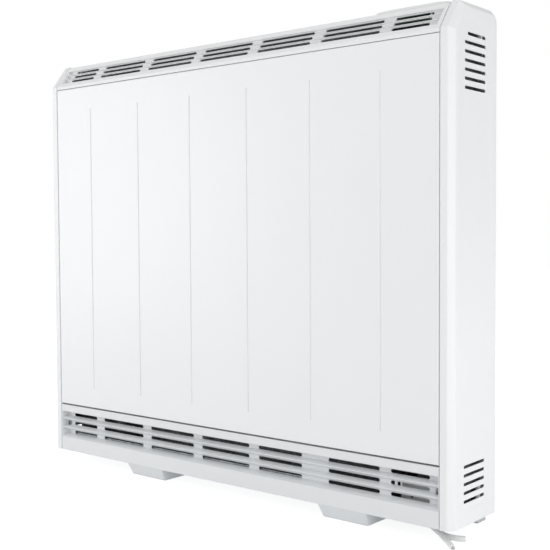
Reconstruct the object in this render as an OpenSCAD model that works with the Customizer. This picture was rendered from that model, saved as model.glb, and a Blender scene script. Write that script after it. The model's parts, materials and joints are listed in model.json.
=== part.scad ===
// Slim storage heater for one room wall, standing on two pressed feet.
// Millimetres. X runs along the heater, Y from front to back, Z up from the floor.
// Lengths along Y are written from the front face and placed() centres the depth.

/* [Casing] */
// Overall width across the two side panels
case_w = 844; // [836:1:852]
// Depth of the casing from the front panel to the back panel
case_d = 124; // [123:1:128]
// Height of the side panels' top edge above the floor
case_top = 733.5; // [731:0.5:736]
// Clear height under the casing
floor_gap = 21.5; // [21:0.5:23]
// Thickness of the folded steel sheet
sheet = 1.2; // [1:0.1:1.4]
// Depth of the whole heater with its rear spacers
total_d = 148; // [146:1:152]

/* [Front panel] */
// Width of the flat front panel
panel_w = 802.6; // [801:0.1:803]
// Height of the front panel
panel_h = 578; // [576:0.5:579]
// Height of the front panel's lower edge above the floor
panel_z = 109; // [108.5:0.5:110]
// Number of upright swaged lines in the front panel
swage_count = 6; // [4:1:7]
// Spacing of the swaged lines
swage_pitch = 123; // [110:1:125]

/* [Side panels] */
// Width of the 45 degree bevel round the side panels
bevel = 8.5; // [7:0.5:9]
// Width of the side panel seen from the front
side_w = 19.2; // [19:0.1:19.8]
// Depth of the pressed field in the side panel
field_depth = 1.3; // [0.8:0.1:1.5]
// Radius of the side panel's upper rear corner
rear_r = 8; // [6:1:14]
// Height of the front edge where the top starts to slope back
slope_z = 693; // [692:0.5:694]
// Depth over which the slope runs back
slope_d = 30.5; // [30:0.5:31]
// Spacing of the vent slots in the side panels
vent_pitch = 12.05; // [11.5:0.05:12.5]

/* [Feet] */
// Width of a foot's sole
foot_w = 80; // [70:1:80]
// Centre of the left foot along the heater
left_foot_x = -181.5; // [-190:0.5:-170]
// Centre of the right foot along the heater
right_foot_x = 237; // [230:0.5:250]
// Depth of a foot
foot_d = 104; // [96:1:110]

/* [Storage core] */
// Width of one storage brick
brick_w = 327; // [320:1:327]
// Height of one storage brick
brick_h = 117; // [112:1:117]
// Depth of one storage brick
brick_d = 58; // [54:1:58]
// Diameter of a sheathed heating element
element_d = 8; // [7:0.5:8.5]

/* [Controls] */
// Diameter of a push button
button_d = 11; // [9:0.5:12]
// Travel of a push button
button_travel = 1; // [0.6:0.1:1.2]

/* [Hidden] */
$fn = 48;
e = 0.01;

white = [0.93, 0.935, 0.94];
grille_grey = [0.84, 0.845, 0.85];
foot_grey = [0.83, 0.84, 0.85];
galvanised = [0.70, 0.71, 0.72];
dark_plastic = [0.20, 0.21, 0.22];
rubber_grey = [0.42, 0.43, 0.44];
core_brown = [0.36, 0.25, 0.20];
board_green = [0.10, 0.33, 0.20];

side_x = case_w / 2;
flange_x = side_x - side_w;
slope_angle = atan2(slope_d, case_top - slope_z);
slope_len = norm([slope_d, case_top - slope_z]);
top_gap = 0.8;
low_gap = 1.6;
inner_x = flange_x - 1.1;

// Louvred grilles: the slots stand in the risers at the back of deep steps. Top steps are
// measured up the slope, lower ones above the floor, and slot groups lie between swaged lines
top_lips = [17.9, 28.2, 38.5];
top_rise = 9.6;
top_slot_h = 3.8;
top_depth = 8;
top_tuck = 4.9;
top_groups = [[-377.5, -316], [-297, -194], [-174, -71], [-51.5, 51.5],
    [71, 174], [194, 297], [316, 377.5]];
low_rows = [87.1, 70.8, 54.2];
low_lips = [94.3, 80.7, 64.2, 47.6];
low_slot_h = 5.6;
low_depth = 14;
low_groups = [[-380, -316.5], [-297, -193.5], [-174, -71], [-52, 51.5],
    [71, 157.5], [207, 298], [316.5, 380]];
grille_sheet = 1;
lip = 0.8;
screw_x = 393.5;
screw_hole_r = 2.1;
screw_pocket_r = 5;

// Storage core, measured from the front face
brick_rows = 4;
core_x = -40;
core_z = 148.5;
core_gap = 0.5;
core_y = 41.5;
core_half = brick_w + core_gap;
core_top = core_z + brick_rows * (brick_h + core_gap);
wall_t = 14;
box_l = core_x - core_half - wall_t - 0.5;
box_r = core_x + core_half + wall_t + 0.5;
shelf_z = 127;
duct_y = 14;
duct_back = 31;
duct_top = core_top + 30;
channel_r = element_d / 2 + 0.6;
leg_half = 9;

// Damper across the duct's mouth
shaft_y = 35;
shaft_z = duct_top + 6;
shaft_r = 2;
bearing_r = shaft_r + 0.05;
flap_l = box_l + 8;
flap_r = box_r - 8;

// Control panel on the top cover
bezel_x = 338;
bezel_w = 122;
bezel_y0 = 34;
bezel_d = 78;
cover_top = case_top - 1.4;
bezel_h = 4;
bezel_top = cover_top + bezel_h;
board_z = 712;
switch_h = 4;
button_y = 93;
button_x = [for (i = [0:4]) bezel_x + (i - 2) * 19];
stem_r = 2.2;
button_lift = 1.4;
button_gap = 0.3;

// Reset button of the thermal cut-out, reached through the base
cutout_x = 95;
cutout_y = 78;
reset_r = 3;

base_z = floor_gap + 1.6;
foot_screw_x = 28;
foot_hole_y = [34, 94];
foot_hole_r = 3.2;
wall_hole_r = 3.5;
wall_hole_x = 300;
wall_hole_z = 690;

// Mains tails lying on the floor, from their clamps to their cut ends
tail_d = 8;
heater_route = [
    [324, 88.5, 11], [329.5, 82.3, 11], [335, 75.8, 11], [340.4, 69.2, 11], [345.8, 62.6, 11],
    [351.3, 56.2, 11], [357.2, 50.1, 11], [363.6, 44.6, 10.9], [370.3, 39.5, 10.5],
    [377.3, 34.8, 9.6], [384.5, 30.6, 8.2], [391.5, 26.3, 6.6], [398.5, 21.2, 5.3],
    [405.3, 15.3, 4.5], [412, 9, 4.1], [419.3, 1.7, 4], [426.8, -6, 4]
];
boost_route = [
    [331, 96, 11], [336.9, 90, 10.6], [342.8, 83.8, 9.5], [348.6, 77.5, 7.9], [354.2, 70.9, 6.2],
    [359.7, 64.2, 4.9], [365.2, 57.3, 4.2], [370.8, 50.6, 4], [377, 44.5, 4], [384, 39.2, 4],
    [391.7, 35.1, 4], [400, 33.2, 4], [408.5, 33.5, 4], [416.5, 36, 4], [421.5, 38.8, 4]
];

// ---------------------------------------------------------------- helpers

module placed() {
    translate([0, -total_d / 2, 0]) children();
}

module box(x0, x1, y0, y1, z0, z1) {
    translate([x0, y0, z0]) cube([x1 - x0, y1 - y0, z1 - z0]);
}

// Extrudes an outline drawn in (y, z) along X
module along_x(x0, x1) {
    translate([x0, 0, 0]) rotate([90, 0, 90]) linear_extrude(x1 - x0) children();
}

// Rod along X
module rod_x(x0, x1, y, z, r) {
    translate([x0, y, z]) rotate([0, 90, 0]) cylinder(h = x1 - x0, r = r);
}

// Rod along Y
module rod_y(x, y0, y1, z, r) {
    translate([x, y0, z]) rotate([-90, 0, 0]) cylinder(h = y1 - y0, r = r);
}

// Rod along Z
module rod_z(x, y, z0, z1, r) {
    translate([x, y, z0]) cylinder(h = z1 - z0, r = r);
}

// Slot with round ends, long in X, cut along Y
module slot_y(x0, x1, y0, y1, z, r) {
    box(x0 + r, x1 - r, y0, y1, z - r, z + r);
    rod_y(x0 + r, y0, y1, z, r);
    rod_y(x1 - r, y0, y1, z, r);
}

// Slot with round ends, long in Y, cut along X
module slot_x(y0, y1, x0, x1, z, r) {
    box(x0, x1, y0, y1, z - r, z + r);
    rod_x(x0, x1, y0, z, r);
    rod_x(x0, x1, y1, z, r);
}

// Carries shapes to the slope: local Z climbs it and local Y runs into the casing
module on_slope() {
    translate([0, 0, slope_z]) rotate([-slope_angle, 0, 0]) children();
}

// Tube swept along a route, one ring of points at each step
function unit(v) = v / norm(v);
function heading(p, i) = unit(p[min(i + 1, len(p) - 1)] - p[max(i - 1, 0)]);
function ring(p, i, r, n, flat) =
    let (d = heading(p, i), a = unit(cross(d, flat)), b = cross(a, d))
    [for (k = [0:n - 1]) p[i] + r * (cos(360 * k / n) * a + sin(360 * k / n) * b)];
module tube_along(p, r, n = 10, flat = [0, 0, 1]) {
    points = [for (i = [0:len(p) - 1]) each ring(p, i, r, n, flat)];
    last = len(p) - 1;
    sides = [for (i = [0:last - 1]) for (k = [0:n - 1])
        [i * n + k, (i + 1) * n + k, (i + 1) * n + (k + 1) % n, i * n + (k + 1) % n]];
    caps = [[for (k = [0:n - 1]) k], [for (k = [n - 1:-1:0]) last * n + k]];
    polyhedron(points = points, faces = concat(sides, caps), convexity = 6);
}

// ---------------------------------------------------------------- casing

module front_panel() placed() color(white) {
    x = panel_w / 2;
    fold = 12;
    rise = panel_z + panel_h;
    difference() {
        box(-x, x, 0, fold, panel_z, rise);
        box(-x + sheet, x - sheet, sheet, fold + e, panel_z + sheet, rise - sheet);
        for (i = [0:swage_count - 1]) swage((i - (swage_count - 1) / 2) * swage_pitch);
    }
}

// One shallow pressed line with round ends
module swage(x) {
    r = 1.7;
    sink = 1;
    low = 145;
    high = 646;
    rod_z(x, -sink, low, high, r);
    for (z = [low, high]) translate([x, -sink, z]) sphere(r);
}

// Side outline in (y, z), inset by the sheet thickness for the inside
module side_outline(inset) {
    y0 = inset;
    y1 = case_d - inset;
    z0 = floor_gap + inset;
    z1 = case_top - inset;
    lean = inset * tan((90 - slope_angle) / 2);
    rise = inset * tan(slope_angle / 2);
    r = max(rear_r - inset, 1);
    difference() {
        polygon([[y0, z0], [y1, z0], [y1, z1], [slope_d + lean, z1], [y0, slope_z - rise]]);
        translate([y1 - r, z1 - r]) difference() {
            square(r + 1);
            circle(r);
        }
    }
}

// Wedge that cuts a 45 degree bevel along local Z
module bevel_cut(x_out, b, length) {
    linear_extrude(length)
        polygon([[x_out - b - 9, -9], [x_out + 9, -9], [x_out + 9, b + 9]]);
}

// Solid side panel form, or its inside when inset is the sheet thickness
module side_form(inset) {
    x_out = side_x - inset;
    b = bevel - (2 - sqrt(2)) * inset;
    lean = inset * tan((90 - slope_angle) / 2);
    rise = inset * tan(slope_angle / 2);
    difference() {
        along_x(flange_x - (inset > 0 ? 1 : 0), x_out) side_outline(inset);
        translate([0, inset, 0]) bevel_cut(x_out, b, case_top + 9);
        translate([0, inset, slope_z - rise]) rotate([-slope_angle, 0, 0])
            translate([0, 0, -20]) bevel_cut(x_out, b, slope_len + 40);
        translate([0, slope_d + lean - 30, case_top - inset]) rotate([-90, 0, 0])
            bevel_cut(x_out, b, case_d + 30);
    }
}

// Pressed field of the side panel in (y, z); grow widens it for the metal behind
module field_outline(grow) {
    y0 = 27.5 - grow;
    y1 = 102.5 + grow;
    z0 = 42.3 - grow;
    z1 = 705.5 + grow;
    polygon([[y0, z0], [y1, z0], [y1, z1], [42.5 - grow / 2, z1], [y0, 686 + grow / 2]]);
}

module side_panel() {
    slot_r = 2.3;
    slot_y0 = 36.6;
    slot_y1 = 90.6;
    fold = 8;
    difference() {
        union() {
            along_x(flange_x, flange_x + sheet) difference() {
                side_outline(0);
                side_outline(fold);
            }
            difference() {
                side_form(0);
                side_form(sheet);
            }
            along_x(side_x - sheet - field_depth, side_x - sheet + e) field_outline(sheet);
        }
        along_x(side_x - field_depth, side_x + 1) field_outline(0);
        for (i = [0:6]) slot_x(slot_y0 + (i == 0 ? 8 : 0), slot_y1, side_x - 6, side_x + 1,
            689.4 - i * vent_pitch, slot_r);
        for (i = [0:4]) slot_x(slot_y0, slot_y1, side_x - 6, side_x + 1,
            103.2 - i * vent_pitch, slot_r);
    }
}

module right_side_panel() placed() color(white) side_panel();
module left_side_panel() placed() color(white) mirror([1, 0, 0]) side_panel();

// Point of the slope in (y, z): v into the casing, u up the slope
function slope_point(v, u) = [u * sin(slope_angle) + v * cos(slope_angle),
    slope_z + u * cos(slope_angle) - v * sin(slope_angle)];

// Louvred outline of the top grille in (y, z), from its lower fold to the top cover
function top_step(c) = [[lip, c - top_rise], [top_depth, c - 1.4], [top_tuck, c + 2.7],
    [lip, c]];
module top_louvre_outline() {
    low = panel_z + panel_h + top_gap;
    back_v = top_depth + grille_sheet;
    steps = concat([for (c = top_lips) each top_step(c)],
        [[lip, top_lips[2] + lip], [lip, slope_len - 6.5]]);
    polygon(concat(
        [[8, low], [lip, low], [lip, slope_z - 0.2]],
        [for (q = steps) slope_point(q[0], q[1])],
        [[slope_d - 0.4, cover_top - 1.2], [slope_d + 1.5, cover_top - 0.3],
            [slope_d + 3, cover_top], [slope_d + 3, cover_top - 6]],
        [slope_point(back_v, top_lips[2] + 6), slope_point(back_v, top_lips[0] - 5),
            slope_point(2.2, 5)],
        [[2.2, slope_z - 1], [2.2, low + grille_sheet], [8, low + grille_sheet]]));
}

module top_grille() placed() color(grille_grey) {
    strip = 6.4;
    lug_x = 370.5;
    difference() {
        along_x(-inner_x, inner_x) top_louvre_outline();
        for (g = top_groups) for (c = top_lips) {
            q = slope_point(top_depth - 1.3, c + 0.4);
            slot_y(g[0], g[1], q[0] - 2, q[0] + 6, q[1], top_slot_h / 2);
        }
    }
    for (s = [-1, 1]) on_slope() {
        box(s > 0 ? inner_x - strip : -inner_x, s > 0 ? inner_x : strip - inner_x,
            0.2, top_depth + e, lip, slope_len - 5);
        box(s * lug_x - 1, s * lug_x + 1, top_depth + grille_sheet - 0.1, top_depth + 4,
            top_lips[2] - 4, top_lips[2] + 5);
    }
}

module top_cover() placed() color(white) {
    y0 = slope_d + 3;
    y1 = case_d - sheet - 0.2;
    difference() {
        union() {
            box(-inner_x, inner_x, y0, y1, cover_top - sheet, cover_top);
            box(-inner_x, inner_x, y0, y0 + sheet, cover_top - 5, cover_top);
            box(-inner_x, inner_x, y1 - sheet, y1, cover_top - 14.2, cover_top);
        }
        box(bezel_x - 26, bezel_x + 26, 44, 76, cover_top - 5, cover_top + 1);
        for (x = button_x) rod_z(x, button_y, cover_top - 5, cover_top + 1, stem_r + 0.6);
    }
}

// Louvred outline of the lower grille in (y, z)
module low_louvre_outline() {
    half = low_slot_h / 2 + 0.1;
    back_y = low_depth + grille_sheet;
    top = panel_z - low_gap;
    steps = [for (i = [0:2]) each [[lip, low_lips[i]], [low_depth, low_rows[i] + half],
        [low_depth, low_rows[i] - half], [lip, low_lips[i + 1] + lip]]];
    polygon(concat([[10, top], [lip, top]], steps, [[lip, low_lips[3]], [3.5, low_lips[3]],
        [back_y, low_rows[2] - half - 1.6], [back_y, low_lips[0] - 2], [2.2, low_lips[0] + 3],
        [2.2, top - grille_sheet], [10, top - grille_sheet]]));
}

module bottom_grille() placed() color(grille_grey) {
    wall = 1.2;
    z = low_rows[1];
    difference() {
        along_x(-inner_x, inner_x) low_louvre_outline();
        for (g = low_groups) for (c = low_rows)
            slot_y(g[0], g[1], low_depth - 0.1, low_depth + 2, c, low_slot_h / 2);
        for (s = [-1, 1]) {
            rod_y(s * screw_x, lip, low_depth, z, screw_pocket_r);
            rod_y(s * screw_x, low_depth - 1, low_depth + 2, z, screw_hole_r);
        }
    }
    for (s = [-1, 1]) translate([s > 0 ? inner_x - wall : -inner_x, 0, 0])
        box(0, wall, lip + 0.4, low_depth + e, low_lips[3] + 1, low_lips[0] + 2);
}

module lower_fascia() placed() color(white) {
    top = low_lips[3] - 0.4;
    difference() {
        box(-inner_x, inner_x, lip, 6, floor_gap, top);
        box(-inner_x - 1, inner_x + 1, lip + sheet, 7, floor_gap - 1, top - sheet);
    }
}

module back_panel() placed() color(galvanised) {
    x = 398;
    y1 = case_d - 0.1;
    y0 = y1 - sheet;
    z0 = base_z + sheet + 0.3;
    z1 = case_top - 16;
    air_z = 112;
    difference() {
        union() {
            box(-x, x, y0, y1, z0, z1);
            box(-x, x, y0 - 9, y1, z1 - sheet, z1);
            for (s = [-1, 1]) box(s * x - (s > 0 ? sheet : 0), s * x + (s > 0 ? 0 : sheet),
                y0 - 12, y1, z0 + 12, z1);
        }
        for (s = [-1, 1]) rod_y(s * wall_hole_x, y0 - 1, y1 + 1, wall_hole_z, wall_hole_r);
        for (i = [-3:3]) slot_y(i * 100 - 36, i * 100 + 36, y0 - 1, y1 + 1, air_z, 3);
    }
}

module base_plate() placed() color(galvanised) {
    x = inner_x - 0.4;
    y1 = case_d - 0.4;
    rib_y = 17;
    difference() {
        union() {
            box(-x, x, 2.4, y1, base_z, base_z + sheet);
            box(-x, x, 2.4, 2.4 + sheet, base_z, base_z + 20);
            box(-x + 12, 160, rib_y, rib_y + sheet, base_z, 53.4);
            box(-x, x, y1 - sheet, y1, base_z - 1.4, base_z + sheet);
        }
        for (fx = [left_foot_x, right_foot_x]) for (s = [-1, 1]) for (y = foot_hole_y)
            rod_z(fx + s * foot_screw_x, y, base_z - 1, base_z + sheet + 1, screw_hole_r);
        rod_z(cutout_x, cutout_y, base_z - 1, base_z + sheet + 1, reset_r + 1);
        for (i = [-3:2]) for (y = [45, 60, 75])
            box(i * 100 + 20, i * 100 + 38, y - 2.5, y + 2.5, base_z - 1, base_z + sheet + 1);
        box(299, 320, 98, 116, base_z - 1, base_z + sheet + 1);
    }
}

module upright() {
    x1 = flange_x - 1.3;
    back = case_d - 3;
    difference() {
        union() {
            box(x1 - sheet, x1, 16, back, 62, 690);
            box(x1 - 14, x1, 16, 16 + sheet, 62, 80);
            box(x1 - sheet, x1, 55, 90, base_z + sheet, 62 + e);
            box(x1 - 12, x1, 16, 16 + sheet, 112, 680);
            box(x1 - 12, x1, 55, 90, base_z + sheet, base_z + 2 * sheet);
        }
        for (z = [130, 400, 660]) rod_x(x1 - 3, x1 + 1, 40, z, screw_hole_r);
        rod_y(screw_x, 15, 18, low_rows[1], screw_hole_r);
    }
}
module right_upright() placed() color(galvanised) upright();
module left_upright() placed() color(galvanised) mirror([1, 0, 0]) upright();

module core_shelf() placed() color(galvanised) {
    leg = base_z + sheet;
    y1 = case_d - 14;
    box(box_l, box_r, duct_back + 0.4, y1, shelf_z - sheet, shelf_z);
    for (x = [box_l, box_r - sheet]) box(x, x + sheet, duct_back + 0.4, y1, leg, shelf_z);
    for (x = [box_l, box_r - 14]) box(x, x + 14, duct_back + 0.4, y1, leg, leg + sheet);
}

// ---------------------------------------------------------------- feet

module foot(x) {
    t = 1.6;
    top = base_z;
    w = foot_w / 2;
    lean = 11;
    flare = 4;
    translate([x, 0, 0]) difference() {
        along_x(-w - flare, w + flare)
            polygon([[2.8, top], [2.8 + lean, 0], [foot_d, 0], [foot_d, top]]);
        for (s = [-1, 1]) translate([s * w, 0, 0]) rotate([0, s * atan(flare / top), 0])
            box(s > 0 ? 0 : -20, s > 0 ? 20 : 0, -1, foot_d + 1, -5, top + 9);
        along_x(t - w, w - t)
            polygon([[2.8 + t, top + 1], [2.8 + t + lean, t], [foot_d + 1, t], [foot_d + 1, top + 1]]);
        for (y = foot_hole_y) rod_z(0, y, -1, t + 1, foot_hole_r);
    }
    for (s = [-1, 1]) translate([x + s * foot_screw_x, 0, 0]) difference() {
        box(-foot_screw_x / 4 - 3, w - foot_screw_x - t, 24, foot_d, top - t, top);
        for (y = foot_hole_y) rod_z(0, y, top - t - 1, top + 1, screw_hole_r);
    }
}
module left_foot() placed() color(foot_grey) foot(left_foot_x);
module right_foot() placed() color(foot_grey) foot(right_foot_x);

// Ribbed spacer that holds the heater off the wall and rests on the floor
module rear_spacer() {
    x0 = 370;
    x1 = 395;
    top = 70;
    difference() {
        box(x0, x1, case_d - 0.1, total_d, 0, top);
        for (i = [0:2]) box(x1 - 1.2, x1 + 1, case_d + 5 + i * 6, case_d + 7.6 + i * 6, -1, top + 1);
        translate([0, total_d, top]) rotate([45, 0, 0]) cube([900, 14, 14], center = true);
    }
}
module right_rear_spacer() placed() color(rubber_grey) rear_spacer();
module left_rear_spacer() placed() color(rubber_grey) mirror([1, 0, 0]) rear_spacer();

// ---------------------------------------------------------------- controls

module control_bezel() placed() color(white) {
    x0 = bezel_x - bezel_w / 2;
    x1 = bezel_x + bezel_w / 2;
    y1 = bezel_y0 + bezel_d;
    wall = 2;
    difference() {
        box(x0, x1, bezel_y0 + 0.2, y1, cover_top, bezel_top);
        box(x0 + wall, x1 - wall, bezel_y0 + wall, y1 - wall, cover_top - 1, bezel_top - wall);
        box(bezel_x - 25, bezel_x + 25, 46, 74, cover_top, bezel_top + 1);
        for (x = button_x) rod_z(x, button_y, cover_top, bezel_top + 1, button_d / 2 + button_gap);
        translate([x0, 0, bezel_top]) rotate([0, 45, 0]) cube([3, 400, 3], center = true);
    }
}

module display_window() placed() color([0.08, 0.10, 0.12, 0.9]) {
    box(bezel_x - 24.8, bezel_x + 24.8, 46.2, 73.8, bezel_top - 2.2, bezel_top - 0.6);
}

module control_board() placed() color(board_green) {
    z1 = board_z + 1.6;
    difference() {
        box(bezel_x - 52, bezel_x + 52, 42, 108, board_z, z1);
        for (s = [-1, 1]) rod_z(bezel_x + s * 47, 47, board_z - 1, z1 + 1, 1.6);
    }
    for (x = button_x) box(x - 3, x + 3, button_y - 3, button_y + 3, z1, z1 + switch_h);
    box(bezel_x - 24, bezel_x + 24, 48, 72, z1, bezel_top - 2.4);
    for (s = [-1, 1]) rod_z(bezel_x + s * 47, 102, z1, cover_top - sheet, 3);
}

// Round button with a stem down to its switch
module push_button(i) {
    x = button_x[i];
    foot_z = board_z + 1.6 + switch_h + button_travel + 0.3;
    rod_z(x, button_y, foot_z, cover_top + 1.4, stem_r);
    rod_z(x, button_y, cover_top + 1.4, bezel_top + button_lift, button_d / 2);
}
module menu_button() placed() color(grille_grey) push_button(0);
module down_button() placed() color(grille_grey) push_button(1);
module up_button() placed() color(grille_grey) push_button(2);
module select_button() placed() color(grille_grey) push_button(3);
module boost_button() placed() color(grille_grey) push_button(4);

// ---------------------------------------------------------------- air path and damper

module air_duct() placed() color(galvanised) {
    t = 0.8;
    difference() {
        union() {
            box(box_l, box_r, duct_y, duct_back, panel_z + 6, duct_top);
            for (x = [flap_l - 3, flap_r + 1]) {
                box(x, x + 2, duct_back - 6, duct_back, duct_top - 8, duct_top + 1);
                box(x, x + 2, duct_back - 6, shaft_y + 5, duct_top + 0.5, shaft_z + 5);
            }
        }
        box(box_l + t, box_r - t, duct_y + t, duct_back - t, panel_z, duct_top + 1);
        rod_x(box_l - 1, box_r + 1, shaft_y, shaft_z, bearing_r);
    }
}

module damper_flap() placed() color(galvanised) {
    t = 1;
    z = duct_top + 0.5;
    difference() {
        union() {
            box(flap_l + 1, flap_r - 1, duct_y - 1, shaft_y + 1, z, z + t);
            for (i = [-2:2]) box(core_x + i * 140 - 8, core_x + i * 140 + 8,
                shaft_y - 4, shaft_y + 4, z, shaft_z + shaft_r + 1);
        }
        rod_x(flap_l, flap_r, shaft_y, shaft_z, shaft_r + 0.02);
    }
}

module damper_shaft() placed() color([0.6, 0.61, 0.62]) {
    rod_x(flap_l - 6, flap_r + 30, shaft_y, shaft_z, shaft_r);
}

module damper_actuator() placed() color(dark_plastic) {
    x0 = flap_r + 3;
    difference() {
        union() {
            box(x0, x0 + 40, shaft_y - 13, shaft_y + 25, duct_top + 0.5, shaft_z + 18);
            box(x0 + 8, x0 + 18, shaft_y + 3, shaft_y + 17, shaft_z + 18, shaft_z + 21);
        }
        rod_x(x0 - 1, x0 + 34, shaft_y, shaft_z, bearing_r);
    }
}

// ---------------------------------------------------------------- storage core

insulation = [0.86, 0.84, 0.78];
module front_insulation() placed() color(insulation)
    box(box_l, box_r, duct_back + 0.4, core_y - 0.5, shelf_z, duct_top - 4);
module back_insulation() placed() color(insulation)
    box(box_l, box_r, core_y + brick_d + 0.5, case_d - 14, shelf_z, duct_top);
module bottom_insulation() placed() color(insulation)
    box(box_l, box_r, core_y - 0.4, core_y + brick_d + 0.4, shelf_z, core_z);
module top_insulation() placed() color(insulation)
    box(box_l, box_r, core_y - 0.4, core_y + brick_d + 0.4, core_top, duct_top);
module side_insulation(x0) {
    box(x0, x0 + wall_t, core_y - 0.4, core_y + brick_d + 0.4, core_z + 0.1, core_top - 0.1);
}
module left_insulation() placed() color(insulation) difference() {
    side_insulation(box_l);
    for (row = [1:3]) box(box_l + 0.6, box_l + wall_t + 1, element_y(-1) - channel_r,
        element_y(1) + channel_r, layer_z(row) - channel_r, layer_z(row) + channel_r);
}
module right_insulation() placed() color(insulation) difference() {
    side_insulation(box_r - wall_t);
    for (row = [1:3]) for (s = [-1, 1])
        rod_x(box_r - wall_t - 1, box_r + 1, element_y(s), layer_z(row), channel_r);
}

function layer_z(row) = core_z + row * (brick_h + core_gap) - core_gap / 2;
function element_y(s) = core_y + brick_d / 2 + s * leg_half;

// Brick with half-round channels for the elements in its faces
module brick(row, side) {
    x0 = side < 0 ? core_x - core_half : core_x + core_gap;
    z0 = core_z + (row - 1) * (brick_h + core_gap);
    difference() {
        box(x0, x0 + brick_w, core_y, core_y + brick_d, z0, z0 + brick_h);
        for (s = [-1, 1]) {
            if (row > 1) rod_x(x0 - 1, x0 + brick_w + 1, element_y(s), layer_z(row - 1), channel_r);
            if (row < brick_rows)
                rod_x(x0 - 1, x0 + brick_w + 1, element_y(s), layer_z(row), channel_r);
        }
    }
}
module brick_1_left() placed() color(core_brown) brick(1, -1);
module brick_1_right() placed() color(core_brown) brick(1, 1);
module brick_2_left() placed() color(core_brown) brick(2, -1);
module brick_2_right() placed() color(core_brown) brick(2, 1);
module brick_3_left() placed() color(core_brown) brick(3, -1);
module brick_3_right() placed() color(core_brown) brick(3, 1);
module brick_4_left() placed() color(core_brown) brick(4, -1);
module brick_4_right() placed() color(core_brown) brick(4, 1);

// Hairpin element: two legs joined by a half turn at the left end
module hairpin(x0, x1, y, half, z, r) {
    for (s = [-1, 1]) rod_x(x0, x1, y + s * half, z, r);
    translate([x0, y, z]) rotate([0, 0, 90]) rotate_extrude(angle = 180)
        translate([half, 0]) circle(r);
}
module core_element(row) {
    end = box_r + 16;
    hairpin(box_l + wall_t, end, core_y + brick_d / 2, leg_half, layer_z(row), element_d / 2);
    for (s = [-1, 1]) rod_x(end, end + 12, element_y(s), layer_z(row), 1.5);
}
steel_grey = [0.50, 0.50, 0.51];
module lower_element() placed() color(steel_grey) core_element(1);
module middle_element() placed() color(steel_grey) core_element(2);
module upper_element() placed() color(steel_grey) core_element(3);
module boost_element() placed() color(steel_grey) {
    z = 108;
    hairpin(box_l + 40, box_r - 20, 62, 16, z, 3.2);
    for (x = [box_l + 80, core_x, box_r - 40]) difference() {
        box(x - 1, x + 1, 40, 84, z - 5, shelf_z - sheet);
        for (s = [-1, 1]) rod_x(x - 2, x + 2, 62 + s * 16, z, 3.1);
    }
}

// ---------------------------------------------------------------- electrics

module thermal_cutout() placed() color(dark_plastic) {
    z0 = base_z + sheet;
    difference() {
        union() {
            rod_z(cutout_x, cutout_y, z0, z0 + 16, 9);
            box(cutout_x - 14, cutout_x + 14, cutout_y - 5, cutout_y + 5, z0, z0 + 2);
        }
        rod_z(cutout_x, cutout_y, z0 - 1, z0 + 11, reset_r + 0.05);
    }
}

module reset_button() placed() color([0.65, 0.12, 0.10])
    rod_z(cutout_x, cutout_y, floor_gap + 0.8, base_z + sheet + 8, reset_r);

module charge_sensor() placed() color(steel_grey) {
    z = core_z + 2.5 * (brick_h + core_gap);
    rod_x(box_r, box_r + 20, core_y + brick_d / 2, z, 2.5);
    box(box_r, box_r + 2, core_y + 18, core_y + 40, z - 8, z + 8);
}

module room_sensor() placed() color(dark_plastic) {
    x = flange_x - 1.3 - sheet;
    rod_x(x - 5, x, 66, 84, 5);
    translate([x - 5, 66, 84]) sphere(3);
}

module terminal_block() placed() color([0.88, 0.87, 0.82]) {
    z0 = base_z + sheet;
    box(330, 386, 62, 66, z0, z0 + 1.5);
    difference() {
        box(330, 386, 66, 88, z0, z0 + 26);
        for (i = [0:5]) {
            rod_z(335.5 + i * 9, 77, z0 + 12, z0 + 27, 2.2);
            rod_y(335.5 + i * 9, 65, 89, z0 + 7, 2);
        }
    }
}

// Sheet screen in front of the terminals, with two tabs bent forward from its top edge
module terminal_cover() placed() color([0.86, 0.87, 0.88]) {
    y = 30;
    tab_y = 16.4;
    z0 = base_z + sheet;
    z1 = 80;
    difference() {
        box(324, 392, y, y + sheet, z0, z1);
        rod_y(341.5, y - 1, y + 2, 50.5, 2.2);
    }
    box(321.6, 333.4, tab_y, y + sheet, z1 - sheet, z1);
    for (tab = [[321.6, 4.4], [331.2, 2.2]])
        box(tab[0], tab[0] + tab[1], tab_y, tab_y + sheet, 62, z1);
    box(324, 392, y, y + 16, z0, z0 + sheet);
}

module power_board() placed() color(board_green) {
    x = inner_x - 14;
    box(x, x + 1.6, 28, 100, 200, 330);
    box(x - 22, x, 60, 90, 215, 245);
    box(x - 16, x, 34, 54, 270, 300);
    for (y = [34, 94]) for (z = [206, 324]) rod_x(x + 1.6, flange_x - 1.3 - sheet, y, z, 3);
}

module wiring_loom() placed() color([0.75, 0.76, 0.77]) {
    route = [[379, 110, 262], [372, 114, 272], [369, 115, 290], [369, 115, 360], [369, 115, 500],
        [369, 115, 640], [368, 114, 690], [365, 108, 702], [360, 98, 708], [358, 90, 709]];
    tube_along(route, 3, 8, [1, 0, 0]);
    low = [[358, 90, 50], [361, 98, 54], [366, 108, 62], [369, 114, 80], [370, 115, 110],
        [370, 115, 180], [371, 115, 230], [376, 112, 246], [380, 104, 250]];
    tube_along(low, 3, 8, [1, 0, 0]);
    for (i = [0, 1]) translate([i * 9, i * 8, 0]) tube_along([[306, 103, 24.6], [306, 103, 34],
        [309, 101, 42], [316, 98, 46], [323, 96, 46], [326, 95, 44]], 3.5, 8, [0.6, 0.8, 0]);
}

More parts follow.
